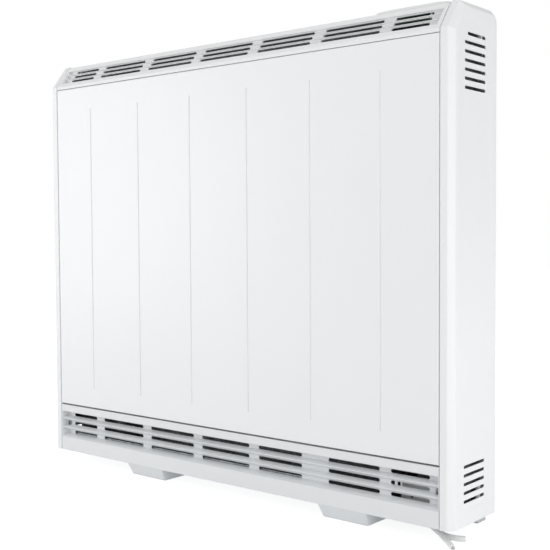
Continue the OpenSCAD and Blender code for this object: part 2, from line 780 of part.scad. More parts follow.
// Clamp block under the base with a tapered nose for each mains tail
module cable_clamps() placed() color(dark_plastic) {
    starts = [heater_route[0], boost_route[0]];
    middle = (starts[0] + starts[1]) / 2;
    reach = starts[1] - starts[0];
    translate(middle) rotate([0, 0, atan2(reach[1], reach[0]) - 90])
        translate([-30, -13, -6.6]) cube([14, 26, base_z - middle[2] + 6.6]);
    for (p = [heater_route, boost_route]) {
        d = p[1] - p[0];
        translate(p[0]) rotate([0, 0, atan2(d[1], d[0])]) rotate([0, -90, 0])
            cylinder(h = 20, r1 = tail_d / 2 + 0.3, r2 = tail_d / 2 + 1.5);
    }
}

module heater_tail() placed() color(white) tube_along(heater_route, tail_d / 2, 10);
module boost_tail() placed() color(white) tube_along(boost_route, tail_d / 2, 10);

// ---------------------------------------------------------------- fasteners

module pan_screw(r_head, head, shank) {
    difference() {
        cylinder(h = head, r = r_head);
        for (a = [0, 90]) rotate([0, 0, a]) translate([-r_head * 0.6, -0.5, head - 0.8])
            cube([r_head * 1.2, 1, 2]);
    }
    translate([0, 0, -shank]) cylinder(h = shank + e, r = 2);
}

module casing_screws() placed() color(galvanised) {
    for (s = [-1, 1]) translate([s * screw_x, low_depth, low_rows[1]]) rotate([90, 0, 0])
        pan_screw(4.4, 2, 9);
}

module foot_screws() placed() color(galvanised) {
    for (fx = [left_foot_x, right_foot_x]) for (s = [-1, 1]) for (y = foot_hole_y)
        translate([fx + s * foot_screw_x, y, base_z + sheet]) pan_screw(3.8, 2.2, 5);
}

// ---------------------------------------------------------------- nodes

front_panel();
left_side_panel();
right_side_panel();
top_grille();
top_cover();
bottom_grille();
lower_fascia();
back_panel();
base_plate();
left_upright();
right_upright();
core_shelf();
left_foot();
right_foot();
left_rear_spacer();
right_rear_spacer();
control_bezel();
display_window();
control_board();
menu_button();
down_button();
up_button();
select_button();
boost_button();
air_duct();
damper_flap();
damper_shaft();
damper_actuator();
front_insulation();
back_insulation();
top_insulation();
bottom_insulation();
left_insulation();
right_insulation();
brick_1_left();
brick_1_right();
brick_2_left();
brick_2_right();
brick_3_left();
brick_3_right();
brick_4_left();
brick_4_right();
lower_element();
middle_element();
upper_element();
boost_element();
thermal_cutout();
reset_button();
charge_sensor();
room_sensor();
terminal_block();
terminal_cover();
power_board();
wiring_loom();
cable_clamps();
heater_tail();
boost_tail();
casing_screws();
foot_screws();
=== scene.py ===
import json
import math

import bmesh
import bpy
from bpy.props import FloatProperty, FloatVectorProperty, IntProperty, PointerProperty
from bpy.types import Operator, Panel, PropertyGroup
from mathutils import Matrix, Vector


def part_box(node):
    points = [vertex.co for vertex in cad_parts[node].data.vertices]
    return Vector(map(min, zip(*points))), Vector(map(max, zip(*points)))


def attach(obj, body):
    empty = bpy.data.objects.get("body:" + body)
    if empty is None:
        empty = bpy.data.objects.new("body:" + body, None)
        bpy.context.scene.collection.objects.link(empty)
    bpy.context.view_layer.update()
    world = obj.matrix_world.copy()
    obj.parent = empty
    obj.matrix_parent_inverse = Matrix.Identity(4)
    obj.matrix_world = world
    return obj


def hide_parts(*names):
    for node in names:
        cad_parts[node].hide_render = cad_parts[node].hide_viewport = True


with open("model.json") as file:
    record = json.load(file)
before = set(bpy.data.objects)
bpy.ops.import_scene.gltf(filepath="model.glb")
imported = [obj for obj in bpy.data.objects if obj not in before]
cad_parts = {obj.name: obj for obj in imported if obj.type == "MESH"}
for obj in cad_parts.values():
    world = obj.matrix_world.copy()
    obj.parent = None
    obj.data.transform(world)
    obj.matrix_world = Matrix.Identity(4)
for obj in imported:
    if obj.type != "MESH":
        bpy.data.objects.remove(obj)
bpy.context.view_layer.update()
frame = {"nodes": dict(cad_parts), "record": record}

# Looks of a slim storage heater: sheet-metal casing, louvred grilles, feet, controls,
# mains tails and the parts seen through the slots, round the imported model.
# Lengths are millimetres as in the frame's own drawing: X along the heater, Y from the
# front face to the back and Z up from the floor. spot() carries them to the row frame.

bl_info = {
    "name": "Storage heater",
    "version": (1, 0, 0),
    "blender": (4, 5, 0),
    "location": "View3D > Sidebar > Heater",
    "description": "Builds the visible pieces and finishes of a slim storage heater",
    "category": "Object",
}

MM = 0.001
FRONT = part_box("front_panel")[0].y


def corners(node):
    """Lowest and highest corner of a CAD node in this script's millimetres."""
    low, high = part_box(node)
    shift = Vector((0, FRONT, 0))
    return (low - shift) / MM, (high - shift) / MM


def centre_of(node):
    """Centre of a CAD node in this script's millimetres."""
    low, high = corners(node)
    return (low + high) / 2


PANEL_LOW, PANEL_HIGH = corners("front_panel")
SIDE_LOW, SIDE_HIGH = corners("right_side_panel")
TOP_LOW, TOP_HIGH = corners("top_grille")
LOUVRE_LOW, LOUVRE_HIGH = corners("bottom_grille")
FASCIA_LOW, FASCIA_HIGH = corners("lower_fascia")
BEZEL_LOW, BEZEL_HIGH = corners("control_bezel")
BUTTONS = ["menu_button", "down_button", "up_button", "select_button", "boost_button"]

# Sloping front of the top, from its lower edge to the top cover
SLOPE_Z = 693
SLOPE_D = 30.5
SLOPE_ANGLE = math.atan2(SLOPE_D, SIDE_HIGH.z - SLOPE_Z)
SLOPE_LENGTH = math.hypot(SLOPE_D, SIDE_HIGH.z - SLOPE_Z)

# Slots in the risers of the grilles' steps: spans along X, then the steps' front edges up
# the slope or above the floor, a step's rise, the slots' heights and how deep an upper
# riser's head lies, and the lower rows' centres. After them come the grilles' sheet, the
# upper fixing lugs and the casing screws with their pockets.
TOP_GROUPS = [(-377.5, -316), (-297, -194), (-174, -71), (-51.5, 51.5),
              (71, 174), (194, 297), (316, 377.5)]
TOP_LIPS = [17.9, 28.2, 38.5]
TOP_RISE = 9.6
TOP_SLOT = 3.8
TOP_TUCK = 4.9
LOW_GROUPS = [(-380, -316.5), (-297, -193.5), (-174, -71), (-52, 51.5),
              (71, 157.5), (207, 298), (316.5, 380)]
LOW_ROWS = [87.1, 70.8, 54.2]
LOW_LIPS = [94.3, 80.7, 64.2, 47.6]
LOW_SLOT = 5.6
GRILLE_SKIN = 1
LUG_X = 370.5
SCREW_RADIUS = 4.4
SCREW_HEIGHT = 2
SCREW_POCKET = 5

# Side panels: their slots' ends along Y, with the top slot starting further back, the two
# groups' highest slots and counts, and the pressed field's rim and floor in (y, z)
VENT_FRONT, VENT_REAR = 36.6, 90.6
VENT_SETBACK = 8
UPPER_VENTS_Z, UPPER_VENTS = 689.4, 7
LOWER_VENTS_Z, LOWER_VENTS = 103.2, 5
FIELD_RIM = [(26.5, 41.3), (105.5, 41.3), (105.5, 706.5), (42, 706.5), (26.5, 686.5)]
FIELD_FLOOR = [(28.6, 43.6), (97.5, 43.6), (97.5, 704.2), (43.2, 704.2), (28.6, 685.6)]

# Feet: their floor fixings, the screws above these and the pan's form
FIXINGS_Y = (34, 94)
FIXING_RADIUS = 3.2
FOOT_SCREW_X = 28
FOOT_SCREW_RADIUS = 3.8
FOOT_SCREW_HEIGHT = 2.2
FOOT_WALL = 1.6
FOOT_LEAN = 11
FOOT_FLARE = 4
FOOT_CORNER = 2.5
FOOT_EDGE = 0.8

# Ribbed rear spacers: bevel of the upper rear edge and the grooves between the ribs
SPACER_BEVEL = 7
GROOVE_START = 6.4
GROOVE_PITCH = 6
GROOVE_RADIUS = 1.3
GROOVE_Z = 35
GROOVE_HALF = 60

# A slot cutter's turn, and the direction in which its slot then runs
UPRIGHT = ((0, 0, 0), (1, 0, 0))
FROM_FRONT = ((-math.pi / 2, 0, 0), (1, 0, 0))
FROM_SIDE = ((math.pi / 2, 0, math.pi / 2), (0, 1, 0))
DOWN_SIDE = ((0, -math.pi / 2, 0), (0, 0, 1))

# Angles in degrees past which edges are rounded, and past which they stay sharp
SOFT_ANGLE = 35
SHARP_ANGLE = 32

# The photograph's viewpoint: degrees round, up and rolled, its place and its lens
VIEW_AZIMUTH, VIEW_ELEVATION, VIEW_ROLL = 39.6232, 2.4613, 0.3183
VIEW_PLACE = (1065.1, -1144.1, 423.4)
VIEW_LENS = 64.1
VIEW_SENSOR = 36

# Studio: the floor's reach, the strength and share of its glow, the light from all round,
# what the lamps face, and each lamp's place in metres, size and power
FLOOR_REACH = 9000
FLOOR_GLOW = 1.5
GLOW_SHARE = 0.55
SURROUND = 0.53
LAMP_TARGET = (0, 0, 0.38)
LAMPS = {
    "key_softbox": ((-1.9, -1.6, 0.6), 1.1, 14),
    "side_softbox": ((2.3, -0.8, 0.45), 1.0, 14.5),
    "top_softbox": ((0.1, -0.9, 2.0), 0.9, 5),
    "low_softbox": ((1.0, 0.0, 0.05), 0.2, 0.4),
}

# Materials by slot, filled when the first one is asked for
FINISHES = {}

# Mains tails, from their clamps under the base to their cut ends on the floor
HEATER_ROUTE = [
    (324, 88.5, 11), (329.5, 82.3, 11), (335, 75.8, 11), (340.4, 69.2, 11), (345.8, 62.6, 11),
    (351.3, 56.2, 11), (357.2, 50.1, 11), (363.6, 44.6, 10.9), (370.3, 39.5, 10.5),
    (377.3, 34.8, 9.6), (384.5, 30.6, 8.2), (391.5, 26.3, 6.6), (398.5, 21.2, 5.3),
    (405.3, 15.3, 4.5), (412, 9, 4.1), (419.3, 1.7, 4), (426.8, -6, 4),
]
BOOST_ROUTE = [
    (331, 96, 11), (336.9, 90, 10.6), (342.8, 83.8, 9.5), (348.6, 77.5, 7.9), (354.2, 70.9, 6.2),
    (359.7, 64.2, 4.9), (365.2, 57.3, 4.2), (370.8, 50.6, 4), (377, 44.5, 4), (384, 39.2, 4),
    (391.7, 35.1, 4), (400, 33.2, 4), (408.5, 33.5, 4), (416.5, 36, 4), (421.5, 38.8, 4),
]


# ---------------------------------------------------------------- properties

def linear(hexa):
    """Linear colour with alpha of an sRGB hex colour."""
    levels = [int(hexa[i:i + 2], 16) / 255 for i in (1, 3, 5)]
    curve = [c / 12.92 if c <= 0.04045 else ((c + 0.055) / 1.055) ** 2.4 for c in levels]
    return curve + [1.0]


def length(name, description, default):
    """Length property given in millimetres and kept in metres."""
    return FloatProperty(name=name, description=description, default=default * MM,
                         subtype="DISTANCE", unit="LENGTH")


def colour(name, description, hexa):
    """Colour property given as an sRGB hex colour and kept linear."""
    return FloatVectorProperty(name=name, description=description, default=linear(hexa),
                               size=4, min=0, max=1, subtype="COLOR")


class HeaterSizes(PropertyGroup):
    sheet: length("Sheet", "Thickness of the folded steel sheet", 1.2)
    panel_edge: length("Panel edge", "Radius round the front panel", 2.2)
    swage_half: length("Line half width", "Half the width of a pressed line", 1.7)
    swage_depth: length("Line depth", "Depth of a pressed line", 1.5)
    swage_low: length("Line foot", "Height of the pressed lines' lower ends", 145)
    swage_high: length("Line head", "Height of the pressed lines' upper ends", 646)
    swage_pitch: length("Line spacing", "Spacing of the pressed lines", 123)
    swage_count: IntProperty(name="Lines", description="Number of pressed lines", default=6, min=1)
    bevel: length("Side bevel", "Width of the bevel round the side panels", 8.5)
    bevel_round: length("Bevel round", "Radius of the folds beside the bevel", 4.5)
    rear_round: length("Rear corner", "Radius of the side panel's upper rear corner", 4)
    rear_spread: length("Rear corner spread", "Growth of that radius across the bevel", 8)
    flange_return: length("Flange return", "Depth of the side panel's inner return", 8)
    field_depth: length("Field depth", "Depth of the pressed field in the side panel", 1.3)
    vent_pitch: length("Vent spacing", "Spacing of the side vent slots", 12.05)
    vent_radius: length("Vent radius", "Half the height of a side vent slot", 2.3)
    top_depth: length("Top step depth", "Depth of the top grille's steps", 8)
    low_depth: length("Lower step depth", "Depth of the lower grille's steps", 14)
    step_lip: length("Step lip", "Depth of a step's front edge behind the casing's front", 0.8)
    tail_diameter: length("Tail diameter", "Diameter of a mains tail", 8)


class HeaterColours(PropertyGroup):
    panel: colour("Front panel", "Powder coat of the front panel", "#F3F4F5")
    side: colour("Side panels", "Powder coat of the side panels and top cover", "#F2F3F4")
    fascia: colour("Fascia", "Powder coat of the lower fascia", "#E8EAEC")
    foot: colour("Feet", "Powder coat of the feet", "#E3E6E8")
    grille: colour("Grilles", "Coat of the louvred grilles", "#F0F1F2")
    floor: colour("Floor", "Studio floor", "#FFFFFF")


# ---------------------------------------------------------------- mesh helpers

def spot(point):
    """Row-frame place of a point in millimetres."""
    return Vector((point[0] * MM, FRONT + point[1] * MM, point[2] * MM))


def placed(name, data):
    """New object of a mesh, lamp or camera in the scene."""
    thing = bpy.data.objects.new(name, data)
    bpy.context.scene.collection.objects.link(thing)
    return thing


def around(loop):
    """Neighbouring pairs round a closed loop, the last one back to the first."""
    items = list(loop)
    return zip(items, items[1:] + items[:1])


def corner_arc(before, corner, after, radius, steps):
    """Points of the arc that rounds one corner of an outline."""
    one = (before - corner).normalized()
    two = (after - corner).normalized()
    half = one.angle(two) / 2
    centre = corner + (one + two).normalized() * radius / math.sin(half)
    start = corner + one * radius / math.tan(half) - centre
    end = corner + two * radius / math.tan(half) - centre
    first = math.atan2(start.y, start.x)
    turn = (math.atan2(end.y, end.x) - first + math.pi) % (2 * math.pi) - math.pi
    angles = [first + turn * i / steps for i in range(steps + 1)]
    return [centre + radius * Vector((math.cos(a), math.sin(a))) for a in angles]


def rounded(points, radii, steps=4):
    """Closed outline with one radius, or one for each corner, 0 for a sharp one."""
    outline = [Vector(p) for p in points]
    result = []
    for i, corner in enumerate(outline):
        radius = radii[i] if isinstance(radii, (list, tuple)) else radii
        after = outline[(i + 1) % len(outline)]
        if radius <= 0:
            result.append(corner)
        else:
            result += corner_arc(outline[i - 1], corner, after, radius, steps)
    return result


def loft(sections, caps=(True, True), closed=True):
    """Points and faces of a skin through sections of equal counts."""
    count = len(sections[0])
    points = [p for section in sections for p in section]
    span = count if closed else count - 1
    faces = []
    for i in range(len(sections) - 1):
        for k in range(span):
            a = i * count + k
            b = i * count + (k + 1) % count
            faces.append((a, b, b + count, a + count))
    last = (len(sections) - 1) * count
    if caps[0]:
        faces.append(tuple(reversed(range(count))))
    if caps[1]:
        faces.append(tuple(range(last, last + count)))
    return points, faces


def new_piece(name, points, faces, outwards=None):
    """Mesh object through points in millimetres, its faces turned to the outside.

    An open shell names the direction that most of its area faces."""
    mesh = bpy.data.meshes.new(name)
    mesh.from_pydata([spot(p) for p in points], [], faces)
    work = bmesh.new()
    work.from_mesh(mesh)
    bmesh.ops.recalc_face_normals(work, faces=work.faces)
    if outwards:
        facing = sum(f.normal.dot(Vector(outwards)) * f.calc_area() for f in work.faces)
        if facing < 0:
            bmesh.ops.reverse_faces(work, faces=work.faces)
    work.to_mesh(mesh)
    work.free()
    return placed(name, mesh)


def prism(name, outline, x0, x1, stops=()):
    """Solid swept along X from an outline in (y, z), its faces parted at the stops."""
    sections = [[(x, p[0], p[1]) for p in outline] for x in (x0, *stops, x1)]
    return new_piece(name, *loft(sections))


def settle(piece):
    """Turns a piece's modifiers into its plain mesh."""
    bpy.context.view_layer.update()
    graph = bpy.context.evaluated_depsgraph_get()
    mesh = bpy.data.meshes.new_from_object(piece.evaluated_get(graph))
    piece.modifiers.clear()
    piece.data = mesh
    return piece


def thicken(piece, thickness):
    """Gives an open shell its sheet thickness on the inside."""
    wall = piece.modifiers.new("sheet", "SOLIDIFY")
    wall.thickness = thickness
    wall.offset = -1
    wall.use_even_offset = True
    return settle(piece)


def soften(piece, width):
    """Rounds the sharp edges of a piece."""
    work = bmesh.new()
    work.from_mesh(piece.data)
    bmesh.ops.remove_doubles(work, verts=work.verts, dist=1e-6)
    bmesh.ops.dissolve_limit(work, angle_limit=math.radians(1), verts=work.verts,
                             edges=work.edges)
    sharp = [edge for edge in work.edges
             if edge.is_manifold and edge.calc_face_angle(0) > math.radians(SOFT_ANGLE)]
    bmesh.ops.bevel(work, geom=sharp, offset=width * MM, offset_type="OFFSET",
                    segments=2, profile=0.5, affect="EDGES", clamp_overlap=True)
    work.to_mesh(piece.data)
    work.free()
    return piece


def copy_of(node, name):
    """New piece with the welded shape of a CAD node."""
    return placed(name, frame["nodes"][node].data.copy())


def join(name, pieces):
    """One piece made of several."""
    work = bmesh.new()
    for piece in pieces:
        work.from_mesh(piece.data)
        bpy.data.objects.remove(piece)
    mesh = bpy.data.meshes.new(name)
    work.to_mesh(mesh)
    work.free()
    return placed(name, mesh)


def finish_piece(piece, slot, body, *nodes):
    """Smooths a piece, gives it its slot's finish and seats it in place of its CAD nodes."""
    piece.data.shade_smooth()
    piece.data.set_sharp_from_angle(angle=math.radians(SHARP_ANGLE))
    even = piece.modifiers.new("even_faces", "WEIGHTED_NORMAL")
    even.mode = "FACE_AREA"
    even.keep_sharp = True
    settle(piece)
    dress(piece, slot)
    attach(piece, body)
    if nodes:
        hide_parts(*nodes)
    return piece


def dress(piece, slot):
    """Gives a piece or a carried-over CAD node the finish of a slot."""
    piece.data.materials.clear()
    piece.data.materials.append(finish_for(slot))


# ---------------------------------------------------------------- node trees

def add(tree, kind, inputs=None, **settings):
    """Adds a node with its settings, its values and the links to its inputs."""
    node = tree.nodes.new(kind)
    for key, value in settings.items():
        setattr(node, key, value)
    for key, value in (inputs or {}).items():
        if isinstance(value, bpy.types.NodeSocket):
            tree.links.new(value, node.inputs[key])
        else:
            node.inputs[key].default_value = value
    return node


def shape_tree(name, sockets):
    """Geometry tree with named inputs; returns it, its input node and their identifiers."""
    tree = bpy.data.node_groups.new(name, "GeometryNodeTree")
    tree.interface.new_socket("Geometry", in_out="OUTPUT", socket_type="NodeSocketGeometry")
    tree.interface.new_socket("Geometry", in_out="INPUT", socket_type="NodeSocketGeometry")
    names = {}
    for label, kind in sockets.items():
        socket = tree.interface.new_socket(label, in_out="INPUT",
                                           socket_type="NodeSocket" + kind)
        names[label] = socket.identifier
    return tree, add(tree, "NodeGroupInput"), names


def run_tree(piece, tree, names, values):
    """Runs a geometry tree on a piece and keeps the result as its plain mesh."""
    step = piece.modifiers.new(tree.name, "NODES")
    step.node_group = tree
    for label, value in values.items():
        step[names[label]] = value
    return settle(piece)


def punch_tree():
    """Cuts round-ended slots through a solid, one at each point of a helper object.

    The points carry half the slot's straight length; a slot with none is a round hole."""
    tree, given, names = shape_tree("punched_slots", {
        "Slots": "Object", "Radius": "Float", "Depth": "Float",
        "Turn": "Rotation", "Along": "Vector", "Material": "Material"})
    sides = 24
    helper = add(tree, "GeometryNodeObjectInfo", {"Object": given.outputs["Slots"]})
    rod = add(tree, "GeometryNodeMeshCylinder", {
        "Vertices": sides, "Radius": given.outputs["Radius"], "Depth": given.outputs["Depth"]})
    # Half a step of turn keeps every corner clear of the line where the slot is parted
    turned = add(tree, "GeometryNodeTransform", {
        "Geometry": rod.outputs["Mesh"], "Rotation": (0, 0, math.pi / sides)})
    place = add(tree, "GeometryNodeInputPosition")
    parts = add(tree, "ShaderNodeSeparateXYZ", {"Vector": place.outputs["Position"]})
    sign = add(tree, "ShaderNodeMath", {0: parts.outputs["X"]}, operation="SIGN")
    signed = add(tree, "GeometryNodeStoreNamedAttribute", {
        "Geometry": turned.outputs["Geometry"], "Name": "end", "Value": sign.outputs[0]},
        data_type="FLOAT", domain="POINT")
    copies = add(tree, "GeometryNodeInstanceOnPoints", {
        "Points": helper.outputs["Geometry"], "Instance": signed.outputs["Geometry"],
        "Rotation": given.outputs["Turn"]})
    solid = add(tree, "GeometryNodeRealizeInstances", {"Geometry": copies.outputs["Instances"]})
    end = add(tree, "GeometryNodeInputNamedAttribute", {"Name": "end"}, data_type="FLOAT")
    half = add(tree, "GeometryNodeInputNamedAttribute", {"Name": "half"}, data_type="FLOAT")
    reach = add(tree, "ShaderNodeMath", {
        0: end.outputs["Attribute"], 1: half.outputs["Attribute"]}, operation="MULTIPLY")
    shift = add(tree, "ShaderNodeVectorMath", {
        0: given.outputs["Along"], "Scale": reach.outputs[0]}, operation="SCALE")
    cutters = add(tree, "GeometryNodeSetPosition", {
        "Geometry": solid.outputs["Geometry"], "Offset": shift.outputs[0]})
    cut = add(tree, "GeometryNodeMeshBoolean", {
        "Mesh 1": given.outputs["Geometry"], "Mesh 2": cutters.outputs["Geometry"]},
        operation="DIFFERENCE", solver="EXACT")
    whole = add(tree, "GeometryNodeRealizeInstances", {"Geometry": cut.outputs["Mesh"]})
    painted = add(tree, "GeometryNodeSetMaterial", {
        "Geometry": whole.outputs["Geometry"], "Material": given.outputs["Material"]})
    add(tree, "NodeGroupOutput", {"Geometry": painted.outputs["Geometry"]})
    return tree, names


def scatter_tree():
    """Places a copy of one small piece at each vertex of the input mesh."""
    tree, given, names = shape_tree("placed_copies", {
        "Piece": "Object", "Turn": "Rotation", "Material": "Material"})
    piece = add(tree, "GeometryNodeObjectInfo", {"Object": given.outputs["Piece"]})
    copies = add(tree, "GeometryNodeInstanceOnPoints", {
        "Points": given.outputs["Geometry"], "Instance": piece.outputs["Geometry"],
        "Rotation": given.outputs["Turn"]})
    solid = add(tree, "GeometryNodeRealizeInstances", {"Geometry": copies.outputs["Instances"]})
    painted = add(tree, "GeometryNodeSetMaterial", {
        "Geometry": solid.outputs["Geometry"], "Material": given.outputs["Material"]})
    add(tree, "NodeGroupOutput", {"Geometry": painted.outputs["Geometry"]})
    return tree, names


def punch(piece, slots, radius, depth, way, slot):
    """Cuts slots, each given as its centre in millimetres and half its straight length."""
    turn, along = way
    mesh = bpy.data.meshes.new("slots")
    mesh.from_pydata([spot(centre) for centre, half in slots], [], [])
    halves = mesh.attributes.new("half", "FLOAT", "POINT")
    halves.data.foreach_set("value", [half * MM for centre, half in slots])
    helper = placed("slots", mesh)
    tree, names = punch_tree()
    run_tree(piece, tree, names, {
        "Slots": helper, "Radius": radius * MM, "Depth": depth * MM,
        "Turn": turn, "Along": along, "Material": finish_for(slot)})
    bpy.data.objects.remove(helper)
    for label in ("half", "end"):
        if label in piece.data.attributes:
            piece.data.attributes.remove(piece.data.attributes[label])
    return piece


def scatter(name, sample, places, turn, slot):
    """Piece made of copies of a sample at places in millimetres; the sample is used up."""
    copies = new_piece(name, places, [])
    tree, names = scatter_tree()
    run_tree(copies, tree, names, {
        "Piece": sample, "Turn": turn, "Material": finish_for(slot)})
    bpy.data.objects.remove(sample)
    return copies


# ---------------------------------------------------------------- finishes

def darker(tint, share):
    """A share of a linear colour."""
    return [c * share for c in tint[:3]] + [1.0]


def new_finish(name):
    """Empty node material with its tree."""
    material = bpy.data.materials.new(name)
    material.use_nodes = True
    material.node_tree.nodes.clear()
    return material, material.node_tree


def new_pattern(name):
    """Empty node material with its tree and the place on the piece that patterns read."""
    material, tree = new_finish(name)
    return material, tree, add(tree, "ShaderNodeTexCoord").outputs["Object"]


def shown(material, shader):
    """Material whose surface is the given shader node."""
    add(material.node_tree, "ShaderNodeOutputMaterial", {"Surface": shader.outputs[0]})
    return material


def powder_coat(name, tint, roughness):
    """Baked polyester powder on steel: an even satin skin with a faint orange peel.

    The peel is about 1.5 mm on a real panel and is drawn at 2.5 mm so that it shows."""
    material, tree, place = new_pattern(name)
    peel = add(tree, "ShaderNodeTexNoise", {
        "Vector": place, "Scale": 1 / (2.5 * MM), "Detail": 1.5})
    cloud = add(tree, "ShaderNodeTexNoise", {
        "Vector": place, "Scale": 1 / (180 * MM), "Detail": 2.0})
    mixed = add(tree, "ShaderNodeMix", {
        0: cloud.outputs[0], 6: tint, 7: darker(tint, 0.97)}, data_type="RGBA")
    gloss = add(tree, "ShaderNodeMapRange", {
        "Value": peel.outputs[0], "To Min": roughness - 0.03, "To Max": roughness + 0.03})
    bump = add(tree, "ShaderNodeBump", {
        "Height": peel.outputs[0], "Strength": 0.25, "Distance": 0.03 * MM})
    shader = add(tree, "ShaderNodeBsdfPrincipled", {
        "Base Color": mixed.outputs[2], "Roughness": gloss.outputs[0],
        "Normal": bump.outputs[0], "IOR": 1.5})
    return shown(material, shader)


def moulded(name, hexa, roughness, grain=0.8, strength=0.3):
    """Injection-moulded plastic: matt spark-eroded grain, a little darker in its pits.

    The grain is about 0.2 mm on a real moulding and is drawn coarser so that it shows."""
    material, tree, place = new_pattern(name)
    pits = add(tree, "ShaderNodeTexNoise", {
        "Vector": place, "Scale": 1 / (grain * MM), "Detail": 3.0, "Roughness": 0.6})
    tint = linear(hexa)
    mixed = add(tree, "ShaderNodeMix", {
        0: pits.outputs[0], 6: darker(tint, 0.88), 7: tint}, data_type="RGBA")
    bump = add(tree, "ShaderNodeBump", {
        "Height": pits.outputs[0], "Strength": strength, "Distance": 0.05 * MM})
    shader = add(tree, "ShaderNodeBsdfPrincipled", {
        "Base Color": mixed.outputs[2], "Roughness": roughness,
        "Normal": bump.outputs[0], "IOR": 1.49})
    return shown(material, shader)


def zinc_coat(name, light, dark, roughness, crystal):
    """Hot-dip galvanised steel: grey crystals of a set size that catch the light apart."""
    material, tree, place = new_pattern(name)
    cells = add(tree, "ShaderNodeTexVoronoi", {"Vector": place, "Scale": 1 / (crystal * MM)})
    value = add(tree, "ShaderNodeSeparateColor", {"Color": cells.outputs["Color"]})
    film = add(tree, "ShaderNodeTexNoise", {
        "Vector": place, "Scale": 1 / (1.2 * MM), "Detail": 4.0})
    mixed = add(tree, "ShaderNodeMix", {
        0: value.outputs[0], 6: linear(light), 7: linear(dark)}, data_type="RGBA")
    gloss = add(tree, "ShaderNodeMapRange", {
        "Value": value.outputs[1], "To Min": roughness - 0.08, "To Max": roughness + 0.1})
    bump = add(tree, "ShaderNodeBump", {
        "Height": film.outputs[0], "Strength": 0.15, "Distance": 0.04 * MM})
    shader = add(tree, "ShaderNodeBsdfPrincipled", {
        "Base Color": mixed.outputs[2], "Metallic": 0.85, "Roughness": gloss.outputs[0],
        "Normal": bump.outputs[0]})
    return shown(material, shader)


def drawn_steel(name, hexa, roughness, metallic=1.0):
    """Drawn or turned steel: fine lines along X in its brightness and its gloss.

    The lines are about 0.1 mm apart on real steel and are drawn 0.4 mm apart to show."""
    material, tree, place = new_pattern(name)
    stretch = add(tree, "ShaderNodeMapping", {"Vector": place, "Scale": (0.03, 1, 1)})
    lines = add(tree, "ShaderNodeTexNoise", {
        "Vector": stretch.outputs[0], "Scale": 1 / (0.4 * MM), "Detail": 3.0})
    tint = linear(hexa)
    mixed = add(tree, "ShaderNodeMix", {
        0: lines.outputs[0], 6: darker(tint, 0.75), 7: tint}, data_type="RGBA")
    gloss = add(tree, "ShaderNodeMapRange", {
        "Value": lines.outputs[0], "To Min": roughness - 0.08, "To Max": roughness + 0.1})
    shader = add(tree, "ShaderNodeBsdfPrincipled", {
        "Base Color": mixed.outputs[2], "Metallic": metallic, "Roughness": gloss.outputs[0]})
    return shown(material, shader)


def fired_brick():
    """Pressed magnetite brick: rust-brown grit of 1 to 3 mm with darker grains."""
    material, tree, place = new_pattern("fired_magnetite_brick")
    grit = add(tree, "ShaderNodeTexNoise", {
        "Vector": place, "Scale": 1 / (3 * MM), "Detail": 6.0, "Roughness": 0.7})
    grains = add(tree, "ShaderNodeTexVoronoi", {"Vector": place, "Scale": 1 / (2.2 * MM)})
    base = add(tree, "ShaderNodeMix", {
        0: grit.outputs[0], 6: linear("#3B2A24"), 7: linear("#7A5342")}, data_type="RGBA")
    bump = add(tree, "ShaderNodeBump", {
        "Height": grains.outputs[0], "Strength": 0.6, "Distance": 0.4 * MM})
    shader = add(tree, "ShaderNodeBsdfPrincipled", {
        "Base Color": base.outputs[2], "Roughness": 0.92, "Normal": bump.outputs[0]})
    return shown(material, shader)


def insulation_board():
    """Microporous silica board: chalky cream with pressed fibres a few millimetres long."""
    material, tree, place = new_pattern("microporous_insulation_board")
    stretch = add(tree, "ShaderNodeMapping", {"Vector": place, "Scale": (0.3, 1, 0.5)})
    fibres = add(tree, "ShaderNodeTexNoise", {
        "Vector": stretch.outputs[0], "Scale": 1 / (1.6 * MM), "Detail": 5.0, "Distortion": 0.8})
    base = add(tree, "ShaderNodeMix", {
        0: fibres.outputs[0], 6: linear("#B9B3A2"), 7: linear("#DAD6C8")}, data_type="RGBA")
    bump = add(tree, "ShaderNodeBump", {
        "Height": fibres.outputs[0], "Strength": 0.5, "Distance": 0.3 * MM})
    shader = add(tree, "ShaderNodeBsdfPrincipled", {
        "Base Color": base.outputs[2], "Roughness": 0.95, "Normal": bump.outputs[0]})
    return shown(material, shader)


def circuit_board():
    """Solder-masked glass epoxy: green gloss with copper tracks 2.5 mm apart beneath."""
    material, tree, place = new_pattern("solder_masked_circuit_board")
    tracks = add(tree, "ShaderNodeTexBrick", {
        "Vector": place, "Scale": 1 / (10 * MM), "Color1": linear("#1F5B38"),
        "Color2": linear("#1B5233"), "Mortar": linear("#3F7F4F"), "Mortar Size": 0.05,
        "Brick Width": 0.9, "Row Height": 0.25})
    mask = add(tree, "ShaderNodeTexNoise", {
        "Vector": place, "Scale": 1 / (6 * MM), "Detail": 2.0})
    gloss = add(tree, "ShaderNodeMapRange", {
        "Value": mask.outputs[0], "To Min": 0.28, "To Max": 0.42})
    shader = add(tree, "ShaderNodeBsdfPrincipled", {
        "Base Color": tracks.outputs[0], "Roughness": gloss.outputs[0], "IOR": 1.55})
    return shown(material, shader)


